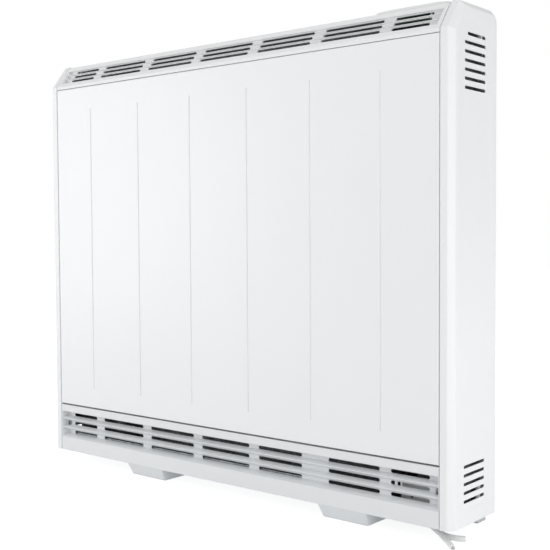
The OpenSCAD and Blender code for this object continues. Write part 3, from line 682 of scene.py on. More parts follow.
def display_pane():
    """Tinted acrylic over a switched-off display: near black, the dull glass showing."""
    material, tree, place = new_pattern("tinted_acrylic_pane")
    low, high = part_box("display_window")
    centre = (low + high) / 2
    half = (high - low) / 2
    shift = add(tree, "ShaderNodeVectorMath", {0: place, 1: centre}, operation="SUBTRACT")
    parts = add(tree, "ShaderNodeSeparateXYZ", {"Vector": shift.outputs[0]})
    inside = []
    # The glass takes up most of the pane's length and width
    for axis, size in (("X", half.x * 0.84), ("Y", half.y * 0.76)):
        distance = add(tree, "ShaderNodeMath", {0: parts.outputs[axis]}, operation="ABSOLUTE")
        inside.append(add(tree, "ShaderNodeMath", {0: distance.outputs[0], 1: size},
                          operation="LESS_THAN"))
    glass = add(tree, "ShaderNodeMath", {
        0: inside[0].outputs[0], 1: inside[1].outputs[0]}, operation="MULTIPLY")
    base = add(tree, "ShaderNodeMix", {
        0: glass.outputs[0], 6: linear("#0C0E10"), 7: linear("#2A302E")}, data_type="RGBA")
    shader = add(tree, "ShaderNodeBsdfPrincipled", {
        "Base Color": base.outputs[2], "Roughness": 0.08, "IOR": 1.49})
    return shown(material, shader)


def make_finishes(colours):
    """All finishes by the record's slot names."""
    return {
        "panel_enamel": powder_coat("satin_powder_coat_panel", colours.panel, 0.36),
        "side_enamel": powder_coat("satin_powder_coat_side", colours.side, 0.42),
        "fascia_enamel": powder_coat("satin_powder_coat_fascia", colours.fascia, 0.45),
        "foot_enamel": powder_coat("satin_powder_coat_foot", colours.foot, 0.5),
        "grille_moulding": powder_coat("satin_powder_coat_grille", colours.grille, 0.5),
        "bezel_plastic": moulded("moulded_abs_bezel", "#F0F1F1", 0.42),
        "button_plastic": moulded("moulded_abs_button", "#D5D8DA", 0.4),
        "display_pane": display_pane(),
        "circuit_board": circuit_board(),
        "dark_plastic": moulded("moulded_nylon_dark", "#2B2D2F", 0.5, 1.2),
        "reset_plastic": moulded("moulded_nylon_red", "#A32620", 0.4),
        "terminal_plastic": moulded("moulded_thermoset_cream", "#D9D5C6", 0.45, 1.0),
        "zinc_sheet": zinc_coat("galvanised_steel_sheet", "#B9BDC0", "#8E9295", 0.42, 7),
        "screen_steel": powder_coat("matt_powder_coat_screen", linear("#E9EBEC"), 0.6),
        "bright_steel": drawn_steel("ground_steel_rod", "#C9CBCC", 0.25),
        "element_sheath": drawn_steel("oxidised_incoloy_sheath", "#6F665D", 0.5, 0.8),
        "screw_zinc": drawn_steel("zinc_plated_screw_steel", "#8F9496", 0.4),
        "insulation_board": insulation_board(),
        "storage_brick": fired_brick(),
        "spacer_rubber": moulded("moulded_rubber_spacer", "#D4D7D9", 0.7, 1.5, 0.5),
        "wire_sleeve": moulded("glass_braid_wire_sleeve", "#C3C4C0", 0.8, 0.9, 0.7),
        "cable_sheath": moulded("extruded_pvc_sheath", "#FBFBFB", 0.38, 2.0, 0.12),
    }


def finish_for(slot):
    """Finish of a slot, made once."""
    if not FINISHES:
        FINISHES.update(make_finishes(bpy.context.scene.heater_colours))
    return FINISHES[slot]


# ---------------------------------------------------------------- casing shapes

def slope_point(into, up):
    """Point in (y, z) a way into the casing and up the sloping front."""
    along = Vector((math.sin(SLOPE_ANGLE), math.cos(SLOPE_ANGLE)))
    inwards = Vector((math.cos(SLOPE_ANGLE), -math.sin(SLOPE_ANGLE)))
    return Vector((0, SLOPE_Z)) + up * along + into * inwards


def front_panel_shell(sizes):
    """Folded front panel: a face with pressed lines that ends in rounded returns."""
    edge = sizes.panel_edge / MM
    half = sizes.swage_half / MM
    depth = sizes.swage_depth / MM
    low_end = sizes.swage_low / MM
    high_end = sizes.swage_high / MM
    middle = (sizes.swage_count - 1) / 2
    swages = [(i - middle) * sizes.swage_pitch / MM for i in range(sizes.swage_count)]
    across = [i / 5 for i in range(-5, 6)]
    rounds = [edge * (1 - math.cos(math.radians(a))) for a in (0, 22, 45, 67, 90)]

    def stations(low, high, centres):
        values = [low + r for r in rounds] + [high - r for r in rounds]
        values += [c + half * a for c in centres for a in across]
        return sorted(values)

    def drop(value, low, high):
        inside = max(0, edge - min(value - low, high - value))
        return edge - math.sqrt(max(0, edge * edge - inside * inside))

    def groove(x, z):
        run = max(low_end - z, 0, z - high_end)
        distance = min(math.hypot(x - s, run) for s in swages)
        return depth * (1 + math.cos(math.pi * distance / half)) / 2 if distance < half else 0

    xs = stations(PANEL_LOW.x, PANEL_HIGH.x, swages)
    zs = stations(PANEL_LOW.z, PANEL_HIGH.z, [low_end, high_end])
    rows = [[(x, max(drop(x, PANEL_LOW.x, PANEL_HIGH.x), drop(z, PANEL_LOW.z, PANEL_HIGH.z))
              + groove(x, z), z) for x in xs] for z in zs]
    points, faces = loft(rows, caps=(False, False), closed=False)
    rim = list(range(len(xs)))
    rim += [(i + 1) * len(xs) - 1 for i in range(1, len(zs))]
    rim += [len(points) - 1 - k for k in range(1, len(xs))]
    rim += [i * len(xs) for i in range(len(zs) - 2, 0, -1)]
    start = len(points)
    points += [(points[i][0], PANEL_HIGH.y, points[i][2]) for i in rim]
    for k, after in around(range(len(rim))):
        faces.append((rim[k], rim[after], start + after, start + k))
    return thicken(new_piece("front_panel_shell", points, faces, (0, -1, 0)), sizes.sheet)


def side_outline(bevel_in, rear_in, radius):
    """Side panel's outline in (y, z) with its bevelled and its plain edges moved in."""
    front = SIDE_LOW.y + bevel_in
    rear = SIDE_HIGH.y - rear_in
    floor = SIDE_LOW.z + rear_in
    top = SIDE_HIGH.z - bevel_in
    lean = bevel_in * math.tan((math.pi / 2 - SLOPE_ANGLE) / 2)
    rise = bevel_in * math.tan(SLOPE_ANGLE / 2)
    points = [(front, floor), (rear, floor), (rear, top), (SLOPE_D + lean, top),
              (front, SLOPE_Z - rise)]
    return rounded(points, [0, 0, radius, 3, 4], 6)


def side_shell(name, sign, sizes):
    """Side panel: flange, soft bevel, face with a pressed field, and two rows of slots."""
    bevel = sizes.bevel / MM
    fold = sizes.bevel_round / MM
    outer = SIDE_HIGH.x
    beyond = 9  # gives the last fold a second leg, which is cut off again
    profile = rounded([(SIDE_LOW.x, sizes.flange_return / MM), (SIDE_LOW.x, 0),
                       (outer - bevel, 0), (outer, bevel), (outer, bevel + beyond)],
                      [0, 0.6, fold, fold, 0], 5)[:-1]
    # The bevel lies at 45 degrees, so its folds end this far inside the outer face
    small = fold * math.tan(math.radians(22.5)) * math.sin(math.radians(45))
    edge_start = outer - small
    sections = []
    for x, inset in profile:
        away = max(0, x - edge_start)
        rear_in = small - math.sqrt(max(0, small * small - away * away))
        if x < SIDE_LOW.x + 1:
            # The return at the inner edge is as deep behind and below as in front
            rear_in = inset
        radius = (sizes.rear_round + sizes.rear_spread * max(0, x - outer + bevel) / bevel) / MM
        outline = side_outline(inset, rear_in, radius)
        sections.append([(x, p.x, p.y) for p in outline])
    points, faces = loft(sections, caps=(False, False))

    # The field's sides are steep in front and run out gently behind, as it is pressed
    depth = sizes.field_depth / MM
    rim = rounded(FIELD_RIM, [6, 8, 8, 5, 5])
    floor = rounded(FIELD_FLOOR, [5, 6, 6, 4, 4])
    work = bmesh.new()
    verts = [work.verts.new(p) for p in points]
    for face in faces:
        work.faces.new([verts[i] for i in face])
    loops = [verts[-len(sections[0]):],
             [work.verts.new((outer, p.x, p.y)) for p in rim],
             [work.verts.new((outer - depth, p.x, p.y)) for p in floor]]
    for (one, two), (four, three) in zip(around(loops[1]), around(loops[2])):
        work.faces.new((one, two, three, four))
    work.faces.new(loops[2])
    edges = []
    for loop in loops[:2]:
        for pair in around(loop):
            edges.append(work.edges.get(pair) or work.edges.new(pair))
    bmesh.ops.triangle_fill(work, use_beauty=True, use_dissolve=False, edges=edges)
    work.verts.index_update()
    points = [(sign * v.co.x, v.co.y, v.co.z) for v in work.verts]
    faces = [[v.index for v in face.verts] for face in work.faces]
    work.free()
    piece = thicken(new_piece(name, points, faces, (sign, 0, 0)), sizes.sheet)

    pitch = sizes.vent_pitch / MM
    rows = [(VENT_FRONT, UPPER_VENTS_Z - i * pitch) for i in range(UPPER_VENTS)]
    rows += [(VENT_FRONT, LOWER_VENTS_Z - i * pitch) for i in range(LOWER_VENTS)]
    rows[0] = (VENT_FRONT + VENT_SETBACK, UPPER_VENTS_Z)
    slots = [((sign * outer, (start + VENT_REAR) / 2, z), (VENT_REAR - start) / 2)
             for start, z in rows]
    return punch(piece, slots, sizes.vent_radius / MM, 12, FROM_SIDE, "side_enamel")


def group_stops(groups):
    """Places along X midway between neighbouring slot groups."""
    return [(one[1] + after[0]) / 2 for one, after in zip(groups, groups[1:])]


def top_grille_shell(sizes):
    """Stepped strip on the slope: three rows of slots deep under the steps' front edges."""
    deep = sizes.top_depth / MM
    lip = sizes.step_lip / MM
    top = TOP_HIGH.z
    flange = 8
    inner = 2.2
    tongue, tongue_wall = 3, 4
    riser_foot, riser_head = -1.4, 2.7
    fold = [(SLOPE_D - 2.6, top - 2.2), (SLOPE_D - 0.2, top - 0.8), (SLOPE_D + tongue, top)]
    face = [(flange, TOP_LOW.z), (lip, TOP_LOW.z), (lip, SLOPE_Z - 0.2)]
    rounds = [0, 0.4, 2.5]
    for edge in TOP_LIPS:
        for into, up, radius in ((lip, edge - TOP_RISE, 0.5), (deep, edge + riser_foot, 0),
                                 (TOP_TUCK, edge + riser_head, 0), (lip, edge, 0.25)):
            face.append(slope_point(into, up))
            rounds.append(radius)
    face += [slope_point(lip, TOP_LIPS[-1] + 1), slope_point(lip, SLOPE_LENGTH - 6.5)] + fold
    rounds += [0.4, 3, 3, 3, 0]
    # The back follows the steps' depth, with a point halfway between neighbouring edges
    lands = [(upper + lower) / 2 + 0.4 for lower, upper in zip(TOP_LIPS, TOP_LIPS[1:])]
    levels = [TOP_LIPS[-1] + 6, *reversed(lands), TOP_LIPS[0] - 5]
    back = [(SLOPE_D + tongue, top - tongue_wall),
            *[slope_point(deep + GRILLE_SKIN, up) for up in levels],
            slope_point(inner, 5), (inner, SLOPE_Z - 1), (inner, TOP_LOW.z + GRILLE_SKIN),
            (flange, TOP_LOW.z + GRILLE_SKIN)]
    outline = rounded(face + back, rounds + [0] * len(back), 3)
    body = prism("top_steps", outline, TOP_LOW.x, TOP_HIGH.x, group_stops(TOP_GROUPS))
    slots = []
    for x0, x1 in TOP_GROUPS:
        for edge in TOP_LIPS:
            riser = slope_point(deep - 1.3, edge + 0.4)
            slots.append((((x0 + x1) / 2, riser.x + 2, riser.y), (x1 - x0 - TOP_SLOT) / 2))
    punch(body, slots, TOP_SLOT / 2, 8, FROM_FRONT, "grille_moulding")

    # A plain strip stands a little proud at each end and closes the steps
    proud = 0.3
    width = 6.4
    inset = 0.1
    base = TOP_LOW.z + inset
    rear = SLOPE_D + tongue - inset
    strip = ([(proud, base), (proud, SLOPE_Z), slope_point(proud, SLOPE_LENGTH - 6.3)]
             + [(y - 0.3, z - inset) for y, z in fold[:2]]
             + [(rear, top - inset), (rear, top - tongue_wall),
                slope_point(deep, TOP_LIPS[-1] + 4), slope_point(deep, TOP_LIPS[0] - 5),
                (2, SLOPE_Z - 1), (2, base)])
    parts = [body]
    for x0 in (TOP_LOW.x + 0.05, TOP_HIGH.x - width - 0.05):
        parts.append(soften(prism("end_strip", strip, x0, x0 + width), 0.4))
    lug = [slope_point(deep + into, TOP_LIPS[-1] + up)
           for into, up in ((0.8, -4), (4, -4), (4, 5), (0.8, 5))]
    for middle in (-LUG_X, LUG_X):
        parts.append(prism("fixing_lug", lug, middle - 1, middle + 1))
    return join("top_louvre_grille", parts)


def bottom_grille_shell(sizes):
    """Stepped panel under the front panel: slots deep under three overhanging lips."""
    deep = sizes.low_depth / MM
    lip = sizes.step_lip / MM
    top = LOUVRE_HIGH.z
    half = LOW_SLOT / 2 + 0.1
    flange = 10
    inner = 2.2
    groove = 1.2
    face = [(flange, top - groove), (lip + groove, top - groove), (lip, top - 0.5)]
    rounds = [0, 0.3, 0.4]
    for i, row in enumerate(LOW_ROWS):
        face += [(lip, LOW_LIPS[i]), (deep, row + half), (deep, row - half),
                 (lip, LOW_LIPS[i + 1] + lip)]
        rounds += [0.3, 0, 0, 0.3]
    face += [(lip, LOW_LIPS[3]), (3.5, LOW_LIPS[3])]
    rounds += [0.2, 0]
    rear = deep + GRILLE_SKIN
    lands = [(LOW_ROWS[1] + LOW_ROWS[2]) / 2, (LOW_ROWS[0] + LOW_ROWS[1]) / 2]
    back = [(rear, LOW_ROWS[2] - half - 1.6), *[(rear, z) for z in lands],
            (rear, LOW_LIPS[0] - 2), (inner, LOW_LIPS[0] + 3),
            (inner, top - groove - GRILLE_SKIN), (flange, top - groove - GRILLE_SKIN)]
    outline = rounded(face + back, rounds + [0] * len(back), 3)
    stops = [LOW_GROUPS[0][0] - 5, *group_stops(LOW_GROUPS), LOW_GROUPS[-1][1] + 5]
    body = prism("low_steps", outline, LOUVRE_LOW.x, LOUVRE_HIGH.x, stops)
    slots = []
    for left, right in LOW_GROUPS:
        for row in LOW_ROWS:
            centre = ((left + right) / 2, deep + GRILLE_SKIN / 2, row)
            slots.append((centre, (right - left) / 2 - LOW_SLOT / 2))
    punch(body, slots, LOW_SLOT / 2, GRILLE_SKIN + 0.8, FROM_FRONT, "fascia_enamel")
    screw_x = corners("casing_screws")[1].x - SCREW_RADIUS
    screw_z = centre_of("casing_screws").z
    pockets = [((side * screw_x, (lip + deep) / 2, screw_z), 0) for side in (-1, 1)]
    punch(body, pockets, SCREW_POCKET, deep - lip, FROM_FRONT, "fascia_enamel")
    wall = [(lip + 0.4, LOW_LIPS[3] + 1), (deep + 0.1, LOW_LIPS[3] + 2.5),
            (deep + 0.1, LOW_LIPS[0] - 1), (lip + 0.4, LOW_LIPS[0] + 2)]
    thick = 1.2
    walls = [prism("end_wall", wall, x0, x0 + thick)
             for x0 in (LOUVRE_LOW.x + 0.02, LOUVRE_HIGH.x - thick - 0.02)]
    return join("bottom_louvre_grille", [body] + walls)


def fascia_shell(sizes):
    """Folded strip under the lower grille, its edges turned back."""
    y0, y1 = FASCIA_LOW.y, FASCIA_HIGH.y
    z0, z1 = FASCIA_LOW.z, FASCIA_HIGH.z
    wall = sizes.sheet / MM
    outline = rounded(
        [(y0, z0), (y1, z0), (y1, z0 + wall), (y0 + wall, z0 + wall), (y0 + wall, z1 - wall),
         (y1, z1 - wall), (y1, z1), (y0, z1)], [1.6, 0.2, 0.2, 0.4, 0.4, 0.2, 0.2, 1.4], 4)
    return prism("fascia_strip", outline, FASCIA_LOW.x, FASCIA_HIGH.x)


def foot_shell(name, node):
    """Pressed steel foot: a pan with a leaning front and rounded corners."""
    low, high = corners(node)
    levels = [high.z, FOOT_EDGE]
    levels += [FOOT_EDGE * (1 - math.sin(math.radians(a))) for a in (30, 60, 90)]
    sections = []
    for z in levels:
        inside = max(0, FOOT_EDGE - z)
        tuck = FOOT_EDGE - math.sqrt(max(0, FOOT_EDGE * FOOT_EDGE - inside * inside))
        front = low.y + FOOT_LEAN * (1 - z / high.z) + tuck
        side = tuck + FOOT_FLARE * (1 - z / high.z)
        left, right = low.x + side, high.x - side
        plan = [Vector(p) for p in ((left, high.y), (left, front),
                                    (right, front), (right, high.y))]
        line = [plan[0], *corner_arc(*plan[:3], FOOT_CORNER, 6),
                *corner_arc(*plan[1:], FOOT_CORNER, 6), plan[3]]
        sections.append([(p.x, p.y, z) for p in line])
    points, faces = loft(sections, caps=(False, True), closed=False)
    pan = thicken(new_piece(name, points, faces, (0, 0, -1)), FOOT_WALL * MM)
    holes = [((centre_of(node).x, y, 0), 0) for y in FIXINGS_Y]
    return punch(pan, holes, FIXING_RADIUS, 8, UPRIGHT, "foot_enamel")


def spacer_block(name, node, outer):
    """Rubber spacer with upright ribs on its outer side."""
    low, high = corners(node)
    wedge = SPACER_BEVEL * math.sqrt(2)
    outline = [(low.y, low.z), (high.y, low.z), (high.y, high.z - wedge),
               (high.y - wedge, high.z), (low.y, high.z)]
    block = soften(prism(name, outline, low.x, high.x), 0.8)
    face = high.x if outer > 0 else low.x
    grooves = [((face, low.y + GROOVE_START + i * GROOVE_PITCH, GROOVE_Z), GROOVE_HALF)
               for i in range(3)]
    return punch(block, grooves, GROOVE_RADIUS, 2.4, DOWN_SIDE, "spacer_rubber")


# ---------------------------------------------------------------- controls and small pieces

def bezel_shell():
    """Control bezel with ramped ends, a display opening and five round button holes.

    One closed skin: up the outside, in through the opening and down the inside."""
    x0, x1 = BEZEL_LOW.x, BEZEL_HIGH.x
    y0, y1 = BEZEL_LOW.y, BEZEL_HIGH.y
    z0, z1 = BEZEL_LOW.z, BEZEL_HIGH.z
    pane_low, pane_high = corners("display_window")
    slack = 0.2
    bevel = 0.6
    wall = 2
    corner = 4
    hole_radius = 5.8

    def ring(left, right, front, rear, radius, z):
        plan = rounded([(left, front), (right, front), (right, rear), (left, rear)], radius, 5)
        return [(p.x, p.y, z) for p in plan]

    # Share of the height, then how far the left end, the right end and the sides lean in
    ramps = [(0, 0, 0, 0), (0.45, 1, 2.5, 0), (0.7, 4, 5, 0.2), (0.9, 9, 10, 0.6),
             (1, 18, 15, 1.2)]
    window = (pane_low.x - slack, pane_high.x + slack, pane_low.y - slack, pane_high.y + slack)
    rim = (window[0] - bevel, window[1] + bevel, window[2] - bevel, window[3] + bevel)
    sections = [ring(x0 + left, x1 - right, y0 + side, y1 - side, corner, z0 + share * (z1 - z0))
                for share, left, right, side in ramps]
    sections += [
        ring(*rim, 2, z1),
        ring(*window, 1.5, z1 - 0.5),
        ring(*window, 1.5, z1 - wall),
        ring(x0 + 8, x1 - 9, y0 + wall, y1 - wall, 2, z1 - wall),
        ring(x0 + wall, x1 - wall, y0 + wall, y1 - wall, 2, z0),
    ]
    points, faces = loft(sections, caps=(False, False))
    count = len(sections[0])
    last = len(points) - count
    for k, after in around(range(count)):
        faces.append((last + k, last + after, after, k))
    piece = new_piece("control_bezel_shell", points, faces)
    centres = [centre_of(button) for button in BUTTONS]
    holes = [((centre.x, centre.y, z1), 0) for centre in centres]
    return punch(piece, holes, hole_radius, 12, UPRIGHT, "bezel_plastic")


def lathe(name, profile, centre, sides):
    """Solid turned about Z from (radius, height) pairs, closed at both ends."""
    sections = []
    for radius, z in profile:
        ring = []
        for k in range(sides):
            a = 2 * math.pi * k / sides
            ring.append((centre[0] + radius * math.cos(a), centre[1] + radius * math.sin(a), z))
        sections.append(ring)
    return new_piece(name, *loft(sections))


def button_cap(node):
    """Push button: dished cap with a rounded rim on its stem."""
    low, high = corners(node)
    radius = (high.x - low.x) / 2
    top, seat = high.z, high.z - 4.0
    stem = 2.2
    dish = [(radius * share, top - 0.45 * (1 - share * share))
            for share in (0.75, 0.55, 0.3, 0.02)]
    profile = [(stem, low.z), (stem, seat), (radius, seat), (radius, top - 0.9),
               (radius - 0.12, top - 0.5), (radius - 0.4, top - 0.2), (radius - 0.8, top - 0.04)]
    return lathe(node + "_cap", profile + dish, centre_of(node), 40)


def button_mark(node, shape):
    """Raised sign on a button, from outlines in (x, y) about its centre."""
    top = corners(node)[1].z
    centre = centre_of(node)
    parts = []
    for outline in shape:
        sections = [[(centre.x + x, centre.y + y, z) for x, y in outline]
                    for z in (top - 0.5, top - 0.1)]
        parts.append(new_piece("mark", *loft(sections)))
    return join(node + "_mark", parts)


def pan_head(radius, height):
    """Screw head with a cross recess, its seat at the origin and its top along Z."""
    profile = [(0.3, 0), (radius, 0), (radius, height * 0.35), (radius * 0.94, height * 0.62),
               (radius * 0.8, height * 0.85), (radius * 0.55, height), (0.3, height)]
    # spot() moves each point by FRONT, so this centre comes to lie on the origin
    origin = (0, -FRONT / MM)
    head = lathe("pan_head", profile, origin, 24)
    long, short = 1.05 * radius / 2, 0.28 * radius / 2
    for x, y in ((long, short), (short, long)):
        bar = [[(sx * x, origin[1] + sy * y, z)
                for sx, sy in ((-1, -1), (1, -1), (1, 1), (-1, 1))]
               for z in (height - 0.9, height + 1)]
        cutter = new_piece("recess", *loft(bar))
        cut = head.modifiers.new("recess", "BOOLEAN")
        cut.operation = "DIFFERENCE"
        cut.solver = "EXACT"
        cut.object = cutter
        settle(head)
        bpy.data.objects.remove(cutter)
    return head


def smooth_route(route):
    """Denser points on one smooth curve through a route's points."""
    points = [Vector(p) for p in route]
    per_span = 4
    result = []
    for i in range(len(points) - 1):
        before = points[max(i - 1, 0)]
        start, end = points[i], points[i + 1]
        after = points[min(i + 2, len(points) - 1)]
        for k in range(per_span):
            t = k / per_span
            result.append(0.5 * (2 * start + (end - before) * t
                                 + (2 * before - 5 * start + 4 * end - after) * t ** 2
                                 + (3 * start - before - 3 * end + after) * t ** 3))
    return result + [points[-1]]


def rings_along(points, radii, sides):
    """Circles of given radii square to a path."""
    up = Vector((0, 0, 1))
    rings = []
    for i, point in enumerate(points):
        heading = (points[min(i + 1, len(points) - 1)] - points[max(i - 1, 0)]).normalized()
        one = heading.cross(up).normalized()
        two = one.cross(heading)
        rings.append([tuple(point + radii[i] * (math.cos(2 * math.pi * k / sides) * one
                                                + math.sin(2 * math.pi * k / sides) * two))
                      for k in range(sides)])
    return rings


def tail_tube(name, route, radius):
    """Sheath of a mains tail whose far end is cut square, its mouth open round the cores."""
    path = smooth_route(route)
    sides = 20
    chamfer = 0.35
    depth = 1.2
    inner = radius * 0.7
    rings = rings_along(path, [radius] * len(path), sides)
    heading = (path[-1] - path[-2]).normalized()
    end = path[-1]
    mouth = [end - chamfer * heading, end, end, end - depth * heading]
    sizes = [radius, radius - chamfer, inner, inner]
    rings[-1:] = [rings_along([point - heading, point, point + heading], [size] * 3, sides)[1]
                  for point, size in zip(mouth, sizes)]
    points, faces = loft(rings)
    return new_piece(name, points, faces), [spot(p) for p in path]


def tail_cores(name, route, radius):
    """Insulated cores seen in a tail's cut end."""
    path = smooth_route(route)
    heading = (path[-1] - path[-2]).normalized()
    side = heading.cross(Vector((0, 0, 1))).normalized()
    over = side.cross(heading)
    pitch = radius * 0.36
    sizes = [radius * 0.28, radius * 0.28, radius * 0.2]
    parts = []
    for k in range(3):
        angle = math.radians(90 + 120 * k)
        middle = path[-1] + pitch * (math.cos(angle) * side + math.sin(angle) * over)
        line = [middle - back * heading for back in (1.4, 0.3, 0.1)]
        parts.append(new_piece("core", *loft(rings_along(line, sizes, 12))))
    return join(name, parts)


# ---------------------------------------------------------------- operators

class HEATER_OT_camera(Operator):
    """Place the camera at the photograph's viewpoint"""
    bl_idname = "heater.camera"
    bl_label = "Camera"

    def execute(self, context):
        azimuth, elevation, roll = (
            math.radians(a) for a in (VIEW_AZIMUTH, VIEW_ELEVATION, VIEW_ROLL))
        back = Vector((math.sin(azimuth) * math.cos(elevation),
                       -math.cos(azimuth) * math.cos(elevation), math.sin(elevation)))
        right = Vector((math.cos(azimuth), math.sin(azimuth), 0))
        above = back.cross(right)
        turned_right = math.cos(roll) * right - math.sin(roll) * above
        turned_above = math.sin(roll) * right + math.cos(roll) * above
        data = bpy.data.cameras.new("camera")
        data.sensor_width = VIEW_SENSOR
        data.lens = VIEW_LENS
        camera = placed("camera", data)
        basis = Matrix((turned_right, turned_above, back)).transposed()
        camera.matrix_world = Matrix.Translation(spot(VIEW_PLACE)) @ basis.to_4x4()
        context.scene.camera = camera
        return {"FINISHED"}


class HEATER_OT_tails(Operator):
    """Lay the two mains tails from their clamps to their cut ends"""
    bl_idname = "heater.tails"
    bl_label = "Mains tails"

    def execute(self, context):
        diameter = context.scene.heater_sizes.tail_diameter
        for node, route in (("heater_tail", HEATER_ROUTE), ("boost_tail", BOOST_ROUTE)):
            tube, path = tail_tube(node + "_sheath", route, diameter / MM / 2)
            cores = tail_cores(node + "_cores", route, diameter / MM / 2)
            finish_piece(tube, "cable_sheath", "heater", node)
            finish_piece(cores, "wire_sleeve", "heater")
        return {"FINISHED"}


class HEATER_OT_front_panel(Operator):
    """Build the front panel with its pressed lines"""
    bl_idname = "heater.front_panel"
    bl_label = "Front panel"

    def execute(self, context):
        piece = front_panel_shell(context.scene.heater_sizes)
        finish_piece(piece, "panel_enamel", "heater", "front_panel")
        return {"FINISHED"}


class HEATER_OT_side_panels(Operator):
    """Build both side panels with their vent slots"""
    bl_idname = "heater.side_panels"
    bl_label = "Side panels"

    def execute(self, context):
        for side, sign in (("right", 1), ("left", -1)):
            piece = side_shell(side + "_side_shell", sign, context.scene.heater_sizes)
            finish_piece(piece, "side_enamel", "heater", side + "_side_panel")
        return {"FINISHED"}


class HEATER_OT_grilles(Operator):
    """Build the louvred grilles above and below the front panel"""
    bl_idname = "heater.grilles"
    bl_label = "Grilles"

    def execute(self, context):
        sizes = context.scene.heater_sizes
        finish_piece(top_grille_shell(sizes), "grille_moulding", "heater", "top_grille")
        finish_piece(bottom_grille_shell(sizes), "fascia_enamel", "heater", "bottom_grille")
        return {"FINISHED"}


class HEATER_OT_fascia(Operator):
    """Build the fascia strip under the lower grille"""
    bl_idname = "heater.fascia"
    bl_label = "Fascia"

    def execute(self, context):
        piece = fascia_shell(context.scene.heater_sizes)
        finish_piece(piece, "fascia_enamel", "heater", "lower_fascia")
        return {"FINISHED"}


class HEATER_OT_feet(Operator):
    """Build the pressed feet and the ribbed rear spacers"""
    bl_idname = "heater.feet"
    bl_label = "Feet and spacers"

    def execute(self, context):
        for side, outer in (("left", -1), ("right", 1)):
            node = side + "_foot"
            finish_piece(foot_shell(node + "_pan", node), "foot_enamel", "heater", node)
            node = side + "_rear_spacer"
            block = spacer_block(node + "_block", node, outer)
            finish_piece(block, "spacer_rubber", "heater", node)
        return {"FINISHED"}


class HEATER_OT_controls(Operator):
    """Build the control bezel, its display pane and the five push buttons"""
    bl_idname = "heater.controls"
    bl_label = "Controls"

    def execute(self, context):
        finish_piece(bezel_shell(), "bezel_plastic", "heater", "control_bezel")
        pane = soften(copy_of("display_window", "display_pane_glass"), 0.3)
        finish_piece(pane, "display_pane", "heater", "display_window")
        bar = [(-2.2, -0.35), (2.2, -0.35), (2.2, 0.35), (-2.2, 0.35)]
        marks = {
            "menu_button": [[(x, y + step) for x, y in bar] for step in (-1.5, 0, 1.5)],
            "down_button": [[(-2, 1.1), (0, -1.7), (2, 1.1)]],
            "up_button": [[(-2, -1.1), (2, -1.1), (0, 1.7)]],
            "select_button": [[(-2.1, 0.1), (-1.5, 0.7), (-0.6, -0.3), (1.6, 1.9), (2.2, 1.3),
                               (-0.6, -1.5)]],
            "boost_button": [bar, [(-0.35, -2.2), (0.35, -2.2), (0.35, 2.2), (-0.35, 2.2)]],
        }
        for node in BUTTONS:
            finish_piece(button_cap(node), "button_plastic", node, node)
            finish_piece(button_mark(node, marks[node]), "dark_plastic", node)
        return {"FINISHED"}


class HEATER_OT_screws(Operator):
    """Place the casing screws and the foot screws"""
    bl_idname = "heater.screws"
    bl_label = "Screws"

    def execute(self, context):
        low, high = corners("casing_screws")
        places = [(side * (high.x - SCREW_RADIUS), low.y + SCREW_HEIGHT, (low.z + high.z) / 2)
                  for side in (-1, 1)]
        heads = scatter("casing_screw_heads", pan_head(SCREW_RADIUS, SCREW_HEIGHT), places,
                        (math.pi / 2, 0, 0), "screw_zinc")
        finish_piece(heads, "screw_zinc", "heater", "casing_screws")
        seat = corners("foot_screws")[1].z - FOOT_SCREW_HEIGHT
        places = [(centre_of(node).x + side * FOOT_SCREW_X, y, seat)
                  for node in ("left_foot", "right_foot") for side in (-1, 1) for y in FIXINGS_Y]
        heads = scatter("foot_screw_heads", pan_head(FOOT_SCREW_RADIUS, FOOT_SCREW_HEIGHT),
                        places, (0, 0, 0), "screw_zinc")
        finish_piece(heads, "screw_zinc", "heater", "foot_screws")
        return {"FINISHED"}


class HEATER_OT_sheet_parts(Operator):
    """Round the edges of the plain sheet parts: cover, back, base and terminal screen"""
    bl_idname = "heater.sheet_parts"
    bl_label = "Sheet parts"

    def execute(self, context):
        plan = {
            "top_cover": ("side_enamel", 0.5), "back_panel": ("zinc_sheet", 0.3),
            "base_plate": ("zinc_sheet", 0.3), "terminal_cover": ("screen_steel", 0.25),
            "cable_clamps": ("dark_plastic", 0.6), "terminal_block": ("terminal_plastic", 0.5),
            "thermal_cutout": ("dark_plastic", 0.5), "damper_actuator": ("dark_plastic", 0.8),
        }
        for node, (slot, width) in plan.items():
            finish_piece(soften(copy_of(node, node + "_finished"), width), slot, "heater", node)
        return {"FINISHED"}


class HEATER_OT_inner_parts(Operator):
    """Give the carried-over parts inside the casing their finishes"""
    bl_idname = "heater.inner_parts"
    bl_label = "Inner parts"

    def execute(self, context):
        for entry in frame["record"]["subparts"]:
            dress(frame["nodes"][entry["node"]], entry["material_slot"])
        return {"FINISHED"}


